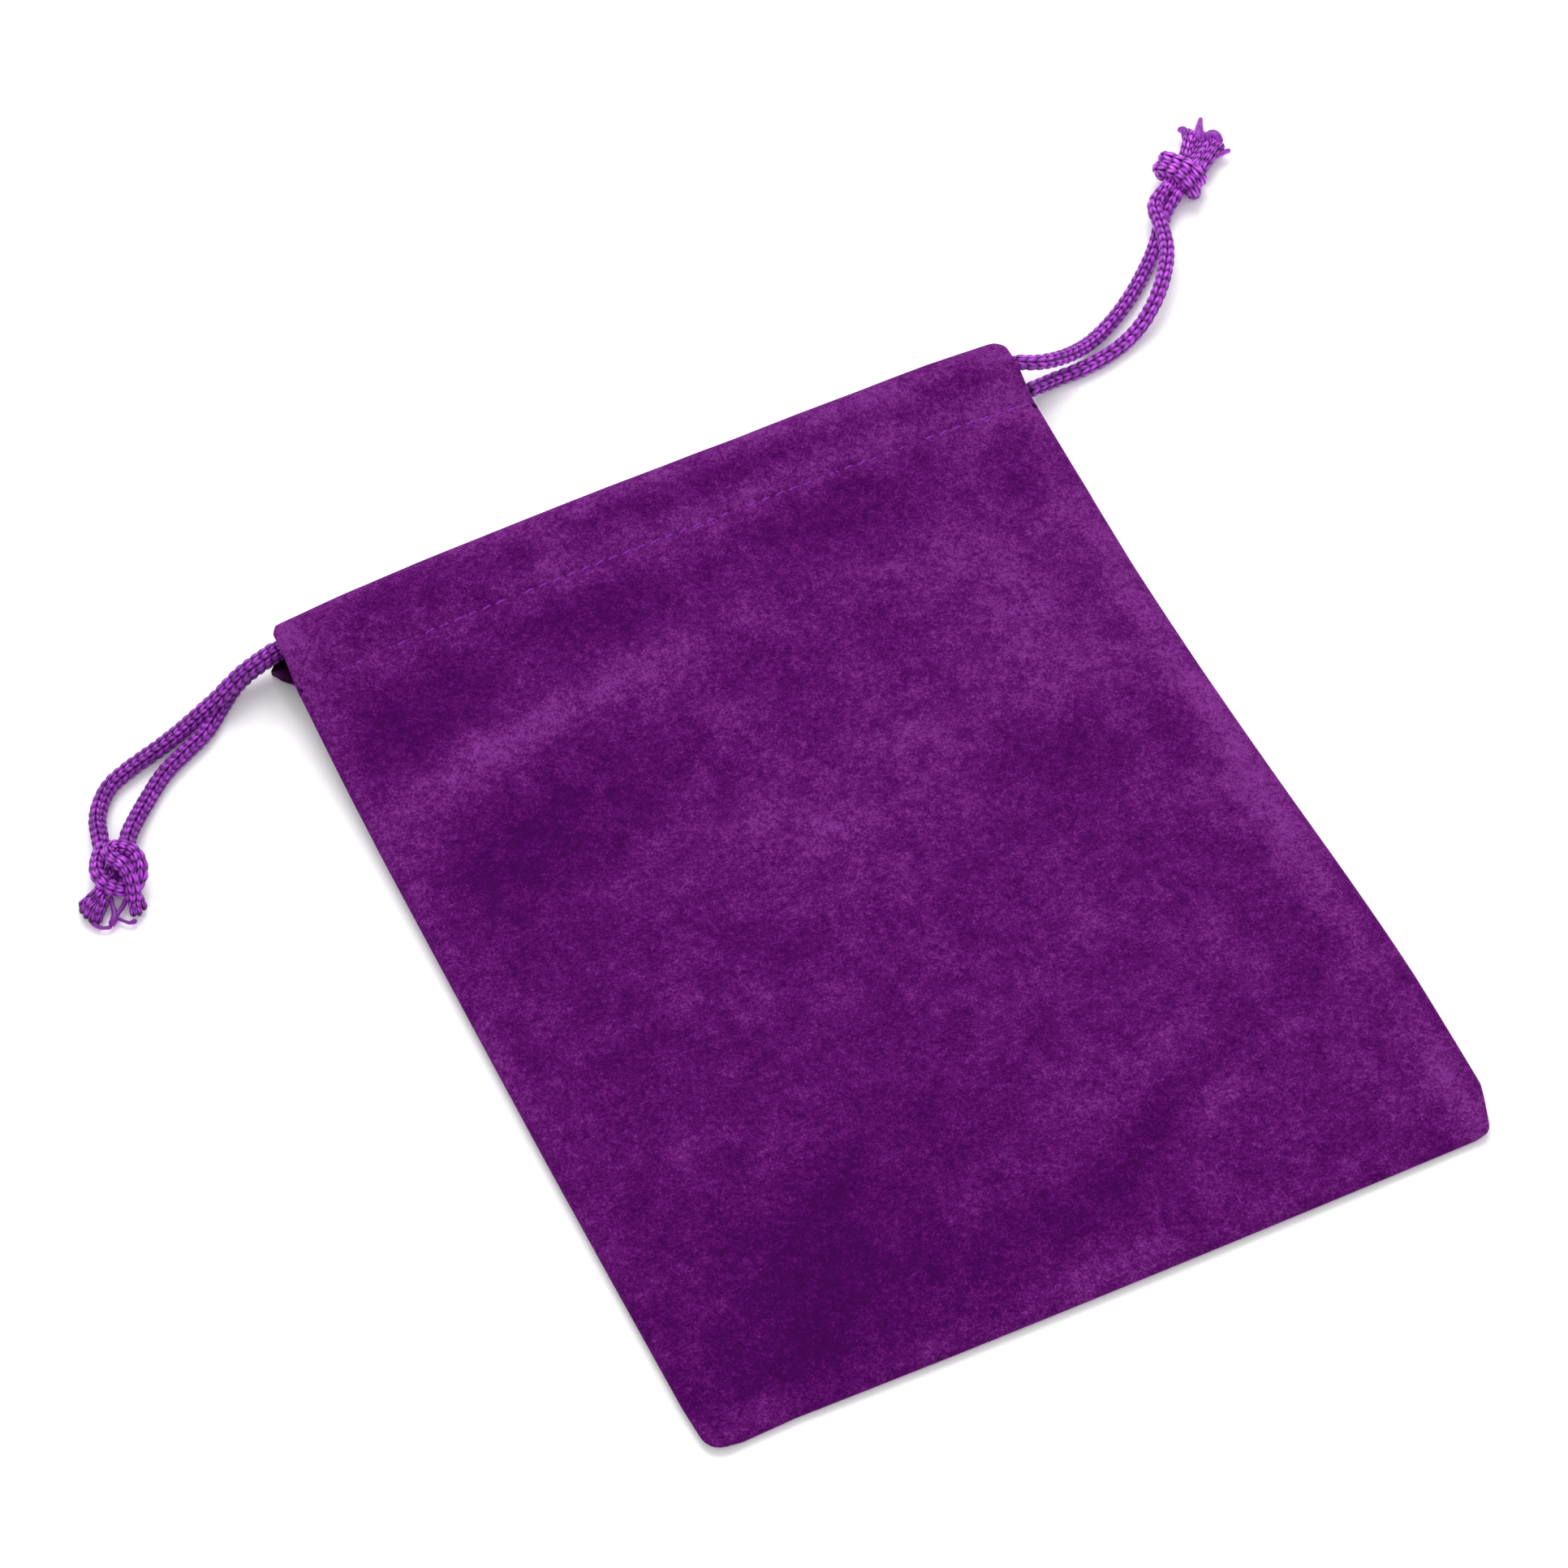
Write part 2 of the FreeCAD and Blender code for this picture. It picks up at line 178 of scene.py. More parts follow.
class Line:
    """A line with arc length and two side directions that don't twist along it."""

    def __init__(self, points):
        keep = np.r_[True, np.linalg.norm(np.diff(points, axis=0), axis=1) > 1e-7]
        self.p = points[keep]
        steps = np.diff(self.p, axis=0)
        self.s = np.r_[0.0, np.cumsum(np.linalg.norm(steps, axis=1))]
        self.length = self.s[-1]
        tangents = np.gradient(self.p, self.s, axis=0)
        self.t = tangents / np.linalg.norm(tangents, axis=1)[:, None]
        side = np.cross(self.t[0], (0.0, 0.0, 1.0))
        if np.linalg.norm(side) < 1e-3:
            side = np.cross(self.t[0], (0.0, 1.0, 0.0))
        side /= np.linalg.norm(side)
        sides = [side]
        for t in self.t[1:]:
            side = side - t * (side @ t)
            side = side / np.linalg.norm(side)
            sides.append(side)
        self.n = np.array(sides)
        self.b = np.cross(self.t, self.n)

    def at(self, s):
        """Place and two side directions at arc lengths s, of any shape; it runs straight past its ends."""
        flat = np.ravel(s)
        out = [
            np.stack([np.interp(flat, self.s, a[:, k]) for k in range(3)], -1)
            for a in (self.p, self.n, self.b)
        ]
        out[0] += np.minimum(flat, 0.0)[:, None] * self.t[0]
        out[0] += np.maximum(flat - self.length, 0.0)[:, None] * self.t[-1]
        return [o.reshape(np.shape(s) + (3,)) for o in out]


# ---------------------------------------------------------------- mesh helpers
class Builder:
    """Collects points, faces and per-point values of one piece."""

    def __init__(self):
        self.points, self.faces, self.values = [], [], {}
        self.count = 0

    def add(self, points, faces, **values):
        points = np.asarray(points, float).reshape(-1, 3)
        self.points.append(points)
        self.faces.extend([tuple(int(i) + self.count for i in f) for f in faces])
        for name, value in values.items():
            flat = np.broadcast_to(np.asarray(value, float), (len(points),))
            self.values.setdefault(name, []).append(flat)
        self.count += len(points)

    def build(self, name, material):
        mesh = bpy.data.meshes.new(name)
        points = np.concatenate(self.points)
        mesh.from_pydata(points.tolist(), [], self.faces)
        for key, parts in self.values.items():
            layer = mesh.attributes.new(key, "FLOAT", "POINT")
            layer.data.foreach_set("value", np.concatenate(parts).astype(np.float32))
        mesh.polygons.foreach_set("use_smooth", [True] * len(mesh.polygons))
        mesh.materials.append(material)
        mesh.update()
        obj = bpy.data.objects.new(name, mesh)
        bpy.context.scene.collection.objects.link(obj)
        return obj


def ring_faces(tubes, rings, sides):
    """Faces of closed tubes, each of rings x sides points, with flat caps."""
    faces = []
    for k in range(tubes):
        base = k * rings * sides
        for i in range(rings - 1):
            a = base + i * sides
            for j in range(sides):
                j2 = (j + 1) % sides
                faces.append((a + j, a + j2, a + sides + j2, a + sides + j))
        faces.append(tuple(base + j for j in reversed(range(sides))))
        faces.append(tuple(base + (rings - 1) * sides + j for j in range(sides)))
    return faces


def slab_faces(columns, rows):
    """Faces of a closed slab between two grids of points: the first grid's, the second's, then the rims'."""
    first = np.arange(columns * rows).reshape(columns, rows)
    second = first + columns * rows
    faces = []
    for grid, order in ((first, (0, 3, 2, 1)), (second, (0, 1, 2, 3))):
        corners = (grid[:-1, :-1], grid[1:, :-1], grid[1:, 1:], grid[:-1, 1:])
        faces.extend(np.stack([corners[k].ravel() for k in order], -1).tolist())
    rim = [(i, 0) for i in range(columns)] + [(columns - 1, j) for j in range(1, rows)]
    rim += [(i, rows - 1) for i in range(columns - 2, -1, -1)] + [(0, j) for j in range(rows - 2, -1, -1)]
    for a, b in zip(rim, rim[1:]):
        faces.append((first[a], first[b], second[b], second[a]))
    return faces


def tube_points(line, s, radius, sides):
    """Rings of points round a line at arc lengths s, and the angles of the points of a ring."""
    place, n, b = line.at(s)
    phi = np.linspace(0, 2 * math.pi, sides, endpoint=False)
    around = n[:, None] * np.cos(phi)[None, :, None] + b[:, None] * np.sin(phi)[None, :, None]
    return place[:, None] + np.broadcast_to(radius, len(s))[:, None, None] * around, phi


# ---------------------------------------------------------------- knitted cord
# Sizes of one leg of a V stitch. Its level, arch, thickness and width are shares of the cord's radius.
WALES = 5  # columns of stitches round the cord
KNIT_PITCH = 0.00126  # one row of stitches, along the cord
LEG_ROWS = 1.5  # length of a leg in rows, so that the rows overlap
LEG_LEVEL = 0.62  # height of a leg's ends over the cord's middle line
LEG_ARCH = 0.17  # how much further out the leg's middle stands
LEG_WIDTH = 1.58  # half-width of a leg, times the number of columns
LEG_THICKNESS = 0.25
CORE_SHARE = 0.64
CORE_STEP = 0.6 * MM
CORE_SIDES = 10


def knit(
    builder, line, radius, rings=8, sides=6, phase=0.0,
    wales=WALES, pitch=KNIT_PITCH, round_end=False, painted_brightness=1.0,
):
    """Knitted cord along a line: columns of V stitches round a core. Each leg of a V is a leaf."""
    rows = max(2, int(round(line.length / pitch)))
    pitch = line.length / rows
    row, wale, leg = np.meshgrid(np.arange(rows), np.arange(wales), (-1.0, 1.0), indexing="ij")
    row, wale, leg = (a.ravel()[:, None].astype(float) for a in (row, wale, leg))
    count = len(row)
    t = np.linspace(0.0, 1.0, rings)[None, :]
    jitter = rng.normal(0.0, 0.035, (count, 1))
    s = (row + jitter - 0.25 + LEG_ROWS * t) * pitch
    # a cut end closes in a dome
    taper = np.ones_like(s)
    if round_end:
        s = np.clip(s, 0.0, line.length)
        into_dome = np.clip((s - line.length + radius) / radius, 0, 1)
        taper = np.sqrt(np.clip(1 - into_dome**2, 0.05, 1))
    sector = 2 * math.pi / wales
    theta = sector * wale + phase + leg * sector * (0.10 + 0.30 * t + 0.05 * np.sin(math.pi * t))
    swell = np.maximum(np.sin(math.pi * t) ** 0.45, 0.10)
    level = radius * taper * (LEG_LEVEL + LEG_ARCH * np.sin(math.pi * np.minimum(t * 1.04, 1.0)))
    place, n, b = line.at(s)
    cos, sin = np.cos(theta)[..., None], np.sin(theta)[..., None]
    outward = n * cos + b * sin
    across = -n * sin + b * cos
    phi = np.linspace(0, 2 * math.pi, sides, endpoint=False)
    half_width = radius * (LEG_WIDTH / wales) * taper * swell * (1 + rng.normal(0, 0.05, (count, 1)))
    half_height = radius * LEG_THICKNESS * taper * swell
    lift = (level[..., None] + half_height[..., None] * np.sin(phi))[..., None]
    offset = (half_width[..., None] * np.cos(phi))[..., None]
    points = place[:, :, None, :] + outward[:, :, None, :] * lift + across[:, :, None, :] * offset
    # painted shade: from 0 in the gaps up to the painted brightness on the outermost threads, which the
    # cord's colour shows as painted highlights
    depth = painted_brightness * np.clip((lift[..., 0] / radius - 0.55) / 0.45, 0, 1)
    tint = np.broadcast_to(rng.uniform(0.0, 1.0, (count, 1, 1)), depth.shape)
    strand = np.broadcast_to(np.cos(phi) + row[..., None] * 3.1, depth.shape)
    builder.add(
        points,
        ring_faces(count, rings, sides),
        depth=depth.ravel(),
        tint=tint.ravel(),
        strand=strand.ravel(),
    )
    # the core is painted at the darkest, as the shade deep between the stitches
    core_rings = max(8, int(line.length / CORE_STEP))
    core_radius = np.full(core_rings, radius * CORE_SHARE)
    if round_end:
        core_radius[-1] *= 0.4
    core = tube_points(line, np.linspace(0.0, line.length, core_rings), core_radius, CORE_SIDES)[0]
    builder.add(core, ring_faces(1, core_rings, CORE_SIDES), depth=0.0, tint=0.5, strand=0.0)


def yarn(builder, points, radii, painted_brightness, sides=7):
    """One soft yarn along given points, from the first radius to the last."""
    line = Line(sampled(points, 8))
    rings = max(6, int(line.length / (0.22 * MM)))
    s = np.linspace(0, line.length, rings)
    radius = np.interp(s / line.length, np.linspace(0, 1, len(radii)), radii)
    radius[0] *= 0.5
    radius[-1] *= 0.35
    shape, phi = tube_points(line, s, radius, sides)
    # painted light: each yarn is lighter on one side than the other
    depth = np.broadcast_to(painted_brightness + 0.25 * np.sin(phi), (rings, sides))
    strand = np.broadcast_to(np.cos(phi) + rng.uniform(0, 30), (rings, sides))
    builder.add(
        shape,
        ring_faces(1, rings, sides),
        depth=np.clip(depth, 0, 1.15).ravel(),
        tint=rng.uniform(0, 1),
        strand=strand.ravel(),
    )


# ---------------------------------------------------------------- materials
def srgb(r, g, b):
    def linear(c):
        c /= 255
        return c / 12.92 if c <= 0.04045 else ((c + 0.055) / 1.055) ** 2.4

    return (linear(r), linear(g), linear(b), 1.0)


def new_material(name):
    material = bpy.data.materials.new(name)
    material.use_nodes = True
    tree = material.node_tree
    shader = tree.nodes["Principled BSDF"]
    return material, tree, shader


def node(tree, kind, **values):
    n = tree.nodes.new(kind)
    for key, value in values.items():
        if hasattr(n, key):
            setattr(n, key, value)
        else:
            n.inputs[key.replace("_", " ").title()].default_value = value
    return n


def ramp(tree, source, stops):
    n = tree.nodes.new("ShaderNodeValToRGB")
    elements = n.color_ramp.elements
    while len(elements) < len(stops):
        elements.new(0.5)
    for element, (position, colour) in zip(elements, stops):
        element.position = position
        element.color = colour
    tree.links.new(source, n.inputs["Fac"])
    return n


def math_node(tree, operation, a, b, clamp=False):
    n = tree.nodes.new("ShaderNodeMath")
    n.operation = operation
    n.use_clamp = clamp
    for k, v in enumerate((a, b)):
        if isinstance(v, (int, float)):
            n.inputs[k].default_value = v
        else:
            tree.links.new(v, n.inputs[k])
    return n.outputs[0]


def varied(tree, base, texture, amount, clamp=False):
    """The base value, moved up and down by a texture whose middle is 0.5."""
    centred = math_node(tree, "SUBTRACT", texture, 0.5)
    return math_node(tree, "ADD", base, math_node(tree, "MULTIPLY", centred, amount), clamp)


def attribute(tree, name):
    return node(tree, "ShaderNodeAttribute", attribute_name=name).outputs["Fac"]


def set_bump(tree, shader, height, strength, distance):
    bump = node(tree, "ShaderNodeBump", strength=strength, distance=distance)
    tree.links.new(height, bump.inputs["Height"])
    tree.links.new(bump.outputs["Normal"], shader.inputs["Normal"])


def velvet_material():
    """Short-pile velvet: mottled nap with painted sheen and painted shade in it, fine fibre grain and a soft
    sheen at grazing angles.
    """
    material, tree, shader = new_material("velvet")
    coords = node(tree, "ShaderNodeTexCoord").outputs["Object"]
    nap = attribute(tree, "nap")
    soft = node(tree, "ShaderNodeTexNoise", scale=230.0, detail=5.0, roughness=0.62)
    grain = node(tree, "ShaderNodeTexNoise", scale=1150.0, detail=3.0, roughness=0.7)
    fibre = node(tree, "ShaderNodeTexNoise", scale=3600.0, detail=2.0, roughness=0.7)
    for n in (soft, grain, fibre):
        tree.links.new(coords, n.inputs["Vector"])
    total = varied(tree, nap, soft.outputs["Fac"], 0.68)
    total = varied(tree, total, grain.outputs["Fac"], 1.0)
    total = varied(tree, total, fibre.outputs["Fac"], 1.35, clamp=True)
    # only the shaded inside and the back casing's shaded end may go black
    outside = math_node(tree, "GREATER_THAN", nap, -0.2)
    total = math_node(tree, "MAXIMUM", total, math_node(tree, "MULTIPLY", outside, 0.07))
    # the lowest stops are black painted shade for the inside and the back casing's end
    colour = ramp(
        tree,
        total,
        [
            (0.0, srgb(8, 0, 11)),
            (0.04, srgb(52, 0, 64)),
            (0.3, srgb(64, 0, 75)),
            (0.6, srgb(84, 14, 93)),
            (1.0, srgb(117, 46, 126)),
        ],
    )
    tree.links.new(colour.outputs["Color"], shader.inputs["Base Color"])
    fine = math_node(tree, "MULTIPLY", fibre.outputs["Fac"], 0.7)
    height = math_node(tree, "ADD", grain.outputs["Fac"], fine)
    set_bump(tree, shader, height, strength=0.5, distance=0.12 * MM)
    shader.inputs["Roughness"].default_value = 0.92
    shader.inputs["Specular IOR Level"].default_value = 0.05
    shader.inputs["Sheen Weight"].default_value = 0.25
    shader.inputs["Sheen Roughness"].default_value = 0.42
    shader.inputs["Sheen Tint"].default_value = srgb(206, 72, 218)
    return material


def cord_material():
    """Glossy knitted nylon: filament streaks in each stitch, painted shade in the gaps and painted
    highlights on the stitches' tops.
    """
    material, tree, shader = new_material("cord")
    depth = attribute(tree, "depth")
    tint = attribute(tree, "tint")
    strand = attribute(tree, "strand")
    coords = node(tree, "ShaderNodeTexCoord").outputs["Object"]
    filament = node(tree, "ShaderNodeTexNoise", noise_dimensions="1D", scale=2.6, detail=2.0)
    tree.links.new(strand, filament.inputs["W"])
    speck = node(tree, "ShaderNodeTexNoise", scale=2600.0, detail=2.0)
    tree.links.new(coords, speck.inputs["Vector"])
    total = math_node(tree, "MULTIPLY", depth, 0.82)
    total = varied(tree, total, tint, 0.12)
    total = varied(tree, total, filament.outputs["Fac"], 0.22)
    total = varied(tree, total, speck.outputs["Fac"], 0.25, clamp=True)
    # from painted shade in the gaps to painted highlights on the stitches' tops
    colour = ramp(
        tree,
        total,
        [
            (0.0, srgb(44, 0, 56)),
            (0.42, srgb(76, 6, 94)),
            (0.66, srgb(116, 22, 142)),
            (0.84, srgb(176, 62, 206)),
            (1.0, srgb(220, 116, 244)),
        ],
    )
    tree.links.new(colour.outputs["Color"], shader.inputs["Base Color"])
    height = math_node(tree, "ADD", filament.outputs["Fac"], speck.outputs["Fac"])
    set_bump(tree, shader, height, strength=0.35, distance=0.06 * MM)
    shader.inputs["Roughness"].default_value = 0.36
    shader.inputs["Specular IOR Level"].default_value = 0.34
    shader.inputs["Sheen Weight"].default_value = 0.1
    shader.inputs["Sheen Roughness"].default_value = 0.35
    shader.inputs["Sheen Tint"].default_value = srgb(225, 150, 245)
    return material


def thread_material():
    """Fine sewing thread with a ply twist."""
    material, tree, shader = new_material("thread")
    strand = attribute(tree, "strand")
    coords = node(tree, "ShaderNodeTexCoord").outputs["Object"]
    twist = node(tree, "ShaderNodeTexNoise", scale=5200.0, detail=1.0)
    tree.links.new(coords, twist.inputs["Vector"])
    streak = node(tree, "ShaderNodeTexNoise", noise_dimensions="1D", scale=3.0, detail=1.0)
    tree.links.new(strand, streak.inputs["W"])
    coarse = math_node(tree, "MULTIPLY", twist.outputs["Fac"], 0.6)
    total = math_node(tree, "ADD", coarse, math_node(tree, "MULTIPLY", streak.outputs["Fac"], 0.4))
    colour = ramp(tree, total, [(0.25, srgb(92, 14, 120)), (0.75, srgb(148, 48, 184))])
    tree.links.new(colour.outputs["Color"], shader.inputs["Base Color"])
    set_bump(tree, shader, twist.outputs["Fac"], strength=0.3, distance=0.03 * MM)
    shader.inputs["Roughness"].default_value = 0.65
    shader.inputs["Specular IOR Level"].default_value = 0.2
    return material


VELVET = velvet_material()
CORD = cord_material()
THREAD = thread_material()

# ---------------------------------------------------------------- free ends of the cords
def add_tail(name, points, phase, swell, look):
    line = Line(sampled(points))
    builder = Builder()
    knit(builder, line, CORD_RADIUS * swell, phase=phase, **look)
    obj = builder.build(name, CORD)
    return obj, line.p


# body, points, turn of the knit round the cord, and how much the knit swells
TAILS = {
    "right_front": ("right_cord", RIGHT_FRONT_TAIL, 0.3, 1.0),
    "right_back": ("right_cord", RIGHT_BACK_TAIL, 1.1, 1.02),
    "left_front": ("left_cord", LEFT_FRONT_TAIL, 0.7, 1.1),
    "left_back": ("left_cord", LEFT_BACK_TAIL, 0.1, 1.1),
}
# the left cord is knitted finer, and painted a little darker as shade
KNIT_LOOKS = {
    "right": {},
    "left": {"wales": 6, "pitch": 0.0011, "painted_brightness": 0.9},
}
tails = {}
for key, (body, points, phase, swell) in TAILS.items():
    side, face = key.split("_")
    obj, path = add_tail(f"{side}_cord_{face}_end", points, phase, swell, KNIT_LOOKS[side])
    tails[key] = (obj, path)
    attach(obj, body)
    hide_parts(f"{side}_cord_{face}_tail")

# ---------------------------------------------------------------- the loops inside the casings
# heights of the cord in the two casings, which lie flatter than in CAD
BACK_CORD_Z = 0.00165
FRONT_CORD_Z = 0.0064
LOOP_BULGE_X = 0.0478  # far side of the bight, on its centre line
BIGHT_CORNER = 0.0012  # how far the bight's corner points stand inside the two runs, in height


def loop_points(side, y, front_exit, back_exit):
    """From the cord's own side through the front casing, round the far end and back."""
    far = -side
    front = [front_exit, (side * 0.044, front_exit[1], FRONT_CORD_Z)]
    front += [(side * x, y, FRONT_CORD_Z) for x in (0.030, 0.010, -0.010, -0.030)]
    turn = [
        (far * 0.0415, y, FRONT_CORD_Z),
        (far * 0.0460, y, FRONT_CORD_Z),
        (far * LOOP_BULGE_X, y, FRONT_CORD_Z - BIGHT_CORNER),
        (far * LOOP_BULGE_X, y, BACK_CORD_Z + BIGHT_CORNER),
        (far * 0.0460, y, BACK_CORD_Z),
        (far * 0.0415, y, BACK_CORD_Z),
    ]
    back = [(side * x, y, BACK_CORD_Z) for x in (-0.030, -0.010, 0.010, 0.030)]
    back += [(side * 0.044, back_exit[1], BACK_CORD_Z), back_exit]
    return front + turn + back


# side that the cord leaves at, and where its loop runs in the casings
LOOPS = {"right": (1, 0.0582), "left": (-1, 0.0605)}
for side_name, (side, y) in LOOPS.items():
    builder = Builder()
    front_exit, back_exit = (TAILS[f"{side_name}_{face}"][1][0] for face in ("front", "back"))
    line = Line(sampled(loop_points(side, y, front_exit, back_exit)))
    knit(builder, line, CORD_RADIUS * 0.97, rings=5, sides=5)
    obj = builder.build(f"{side_name}_cord_loop", CORD)
    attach(obj, f"{side_name}_cord")
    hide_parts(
        f"{side_name}_cord_front_run",
        f"{side_name}_cord_back_run",
        f"{side_name}_cord_bight",
    )

# ---------------------------------------------------------------- knots and frayed ends
# Points are in millimetres in each knot's own frame: along the cord towards its ends, to the left of
# that, and up.
RIGHT_KNOT_CENTRE = (0.0858, 0.0819, 0.00245)
RIGHT_KNOT_ANGLE = math.radians(50)
LEFT_KNOT_CENTRE = (-0.0800, 0.0404, 0.00245)
LEFT_KNOT_ANGLE = math.radians(250)
RIGHT_KNOT_STRANDS = (
    [
        (-3.4, 1.3, 0.2), (-2.0, 1.1, -0.2), (-0.4, 1.1, -0.4), (1.0, 1.4, -0.7), (2.1, 2.1, -0.5),
        (2.3, 2.7, 0.2), (1.7, 2.3, 1.0), (1.1, 1.0, 1.45), (0.6, -0.7, 1.45), (0.2, -2.1, 0.8),
        (0.1, -2.6, -0.3), (0.6, -1.9, -1.3), (1.6, -1.3, -1.1), (2.6, -1.4, -0.6), (3.4, -1.7, -0.5),
    ],
    [
        (-3.6, 0.1, -0.7), (-2.2, 0.0, -0.4), (-0.9, 0.2, -0.6), (0.1, 1.4, -1.0), (0.5, 2.6, -0.7),
        (0.4, 3.1, 0.2), (0.0, 2.4, 1.0), (-0.6, 1.0, 1.45), (-1.3, -0.5, 1.4), (-1.9, -1.7, 0.7),
        (-2.0, -2.3, -0.3), (-1.4, -1.9, -1.3), (0.0, -0.8, -1.4), (1.6, -0.2, -0.9), (3.2, -0.2, -0.4),
    ],
)
LEFT_KNOT_STRANDS = (
    [
        (-3.9, -1.6, -0.3), (-2.6, -2.2, -0.5), (-0.8, -2.6, -0.2), (0.9, -2.5, 0.1), (2.2, -1.6, -0.1),
        (2.8, 0.0, -0.5), (2.6, 1.7, -0.8), (1.4, 2.7, 0.2), (-0.5, 2.6, 0.9), (-2.0, 1.5, 1.2),
        (-2.4, -0.3, 1.2), (-1.5, -1.0, 1.3), (-0.3, -0.4, 1.5), (0.5, 0.6, 1.5), (1.6, 1.3, 1.0),
        (2.7, 1.6, 0.2), (3.6, 1.7, -0.8), (4.2, 1.6, -1.2),
    ],
    [
        (-3.9, 1.0, -0.3), (-2.6, 0.8, -0.8), (-1.3, -0.5, -1.2), (0.2, -1.1, -1.3), (1.7, -1.8, -1.2),
        (2.8, -2.6, -1.1), (3.4, -3.0, -1.1),
    ],
    [(-2.2, 0.9, -1.5), (-1.0, 0.5, -1.5), (0.4, 0.6, -1.5), (1.7, 0.7, -1.5)],
)


def knot_frame(centre, angle):
    along = np.array((math.cos(angle), math.sin(angle), 0.0))
    left = np.array((-math.sin(angle), math.cos(angle), 0.0))
    up = np.array((0.0, 0.0, 1.0))

    def place(points):
        return [
            tuple(np.array(centre) + MM * (a * along + b * left + c * up)) for a, b, c in points
        ]

    return place


def add_knot(name, strands, place, look):
    builder = Builder()
    for k, points in enumerate(strands):
        line = Line(sampled(place(points)))
        knit(builder, line, CORD_RADIUS * 0.98, phase=0.4 + 0.5 * k, **look)
    return builder.build(name, CORD)


def ribs(builder, place, roots, tips, radius, bend, painted_brightness=1.0):
    """Opened knitted strands of one cord end, spreading from its knot."""
    for root, tip in zip(roots, tips):
        root, tip = np.array(root), np.array(tip)
        points = [root]
        for share in (0.35, 0.7):
            points.append(root + (tip - root) * share + (0, rng.uniform(-bend, bend), rng.uniform(0, 0.3)))
        points.append(tip)
        line = Line(sampled(place([tuple(p) for p in points]), 8))
        swell = rng.uniform(0.9, 1.12)
        knit(
            builder, line, swell * radius * MM, rings=6, sides=5, phase=rng.uniform(0, 6),
            wales=4, pitch=2.2 * swell * radius * MM, round_end=True, painted_brightness=painted_brightness * rng.uniform(0.92, 1.08),
        )


right_place = knot_frame(RIGHT_KNOT_CENTRE, RIGHT_KNOT_ANGLE)
left_place = knot_frame(LEFT_KNOT_CENTRE, LEFT_KNOT_ANGLE)
# painted light: the right knot and its frayed ends are made brighter than the rest of the cord
right_knot = add_knot("right_knot", RIGHT_KNOT_STRANDS, right_place, {"painted_brightness": 1.1})
left_knot = add_knot("left_knot", LEFT_KNOT_STRANDS, left_place, KNIT_LOOKS["left"] | {"painted_brightness": 1.0})

builder = Builder()
FAN_ROWS = 6
for level, reach, spread in ((-0.7, 1.0, 1.0), (-1.55, 0.95, 0.9)):
    shares = np.linspace(0, 1, FAN_ROWS)
    roots = [(2.6 - 0.5 * s, 0.6 - 2.9 * s, level + 0.1) for s in shares]
    tips = [
        ((8.9 - 1.5 * s**3 + rng.uniform(-0.3, 0.3)) * reach, (0.8 - 4.8 * s) * spread - 0.1, level - 0.25)
        for s in shares
    ]
    ribs(builder, right_place, roots, tips, 0.58, 0.3, painted_brightness=1.1)
RIGHT_SPIKES = (
    ([(7.0, -0.9, -0.8), (8.8, -0.6, -0.6), (10.2, -0.4, -0.9), (11.6, -0.3, -1.2)], [0.8, 0.7, 0.48, 0.28]),
    ([(7.0, 0.9, -0.9), (8.0, 1.1, -0.6), (8.7, 1.5, -0.7), (8.5, 2.2, -1.0)], [0.4, 0.52, 0.56, 0.36]),
    ([(5.2, -3.6, -1.0), (6.0, -4.2, -1.0), (6.6, -4.7, -1.1), (7.0, -5.2, -1.2)], [0.32, 0.38, 0.36, 0.34]),
    ([(7.4, -1.7, -0.6), (8.5, -2.1, -0.4), (8.6, -3.0, -0.4), (7.4, -3.8, -0.7)], [0.5, 0.62, 0.62, 0.45]),
)
for points, radii in RIGHT_SPIKES:
    yarn(builder, right_place(points), [r * MM for r in radii], painted_brightness=1.05)
right_ends = builder.build("right_frayed_ends", CORD)

builder = Builder()
ribs(
    builder,
    left_place,
    [(2.4, -3.0, -1.3), (2.7, -2.7, -1.1), (3.0, -2.4, -1.0), (3.3, -2.0, -1.1), (3.5, -1.7, -1.3)],
    [(4.0, -4.9, -1.7), (5.0, -4.8, -1.5), (5.9, -4.3, -1.4), (6.5, -3.7, -1.5), (6.6, -2.9, -1.7)],
    0.50,
    0.15,
)
ribs(
    builder,
    left_place,
    [(3.2, 1.1, -1.2), (3.4, 1.7, -1.1), (3.2, 2.2, -1.3)],
    [(6.0, 1.5, -1.7), (6.1, 2.2, -1.5), (5.2, 2.8, -1.7)],
    0.48,
    0.1,
)
LEFT_THREADS = (
    (
        [(3.2, -1.1, -1.1), (4.4, -1.0, -1.4), (5.5, -0.7, -1.5), (6.5, -0.9, -1.6), (7.0, -1.4, -1.75)],
        [0.34, 0.28, 0.36, 0.52, 0.42],
    ),
    ([(3.6, 0.7, -1.1), (4.5, 0.35, -1.4), (5.4, -0.4, -1.5), (6.4, -0.9, -1.6)], [0.36, 0.3, 0.3, 0.36]),
    ([(6.2, -3.5, -1.7), (7.0, -2.9, -1.8), (7.25, -2.0, -1.85), (7.1, -1.2, -1.8)], [0.42, 0.3, 0.22, 0.3]),
    ([(6.0, -0.5, -1.7), (6.4, 0.2, -1.8), (6.9, 1.1, -1.85), (6.5, 1.8, -1.7)], [0.22, 0.2, 0.24, 0.4]),
)
for points, radii in LEFT_THREADS:
    yarn(builder, left_place(points), [r * MM for r in radii], painted_brightness=0.9)
left_ends = builder.build("left_frayed_ends", CORD)

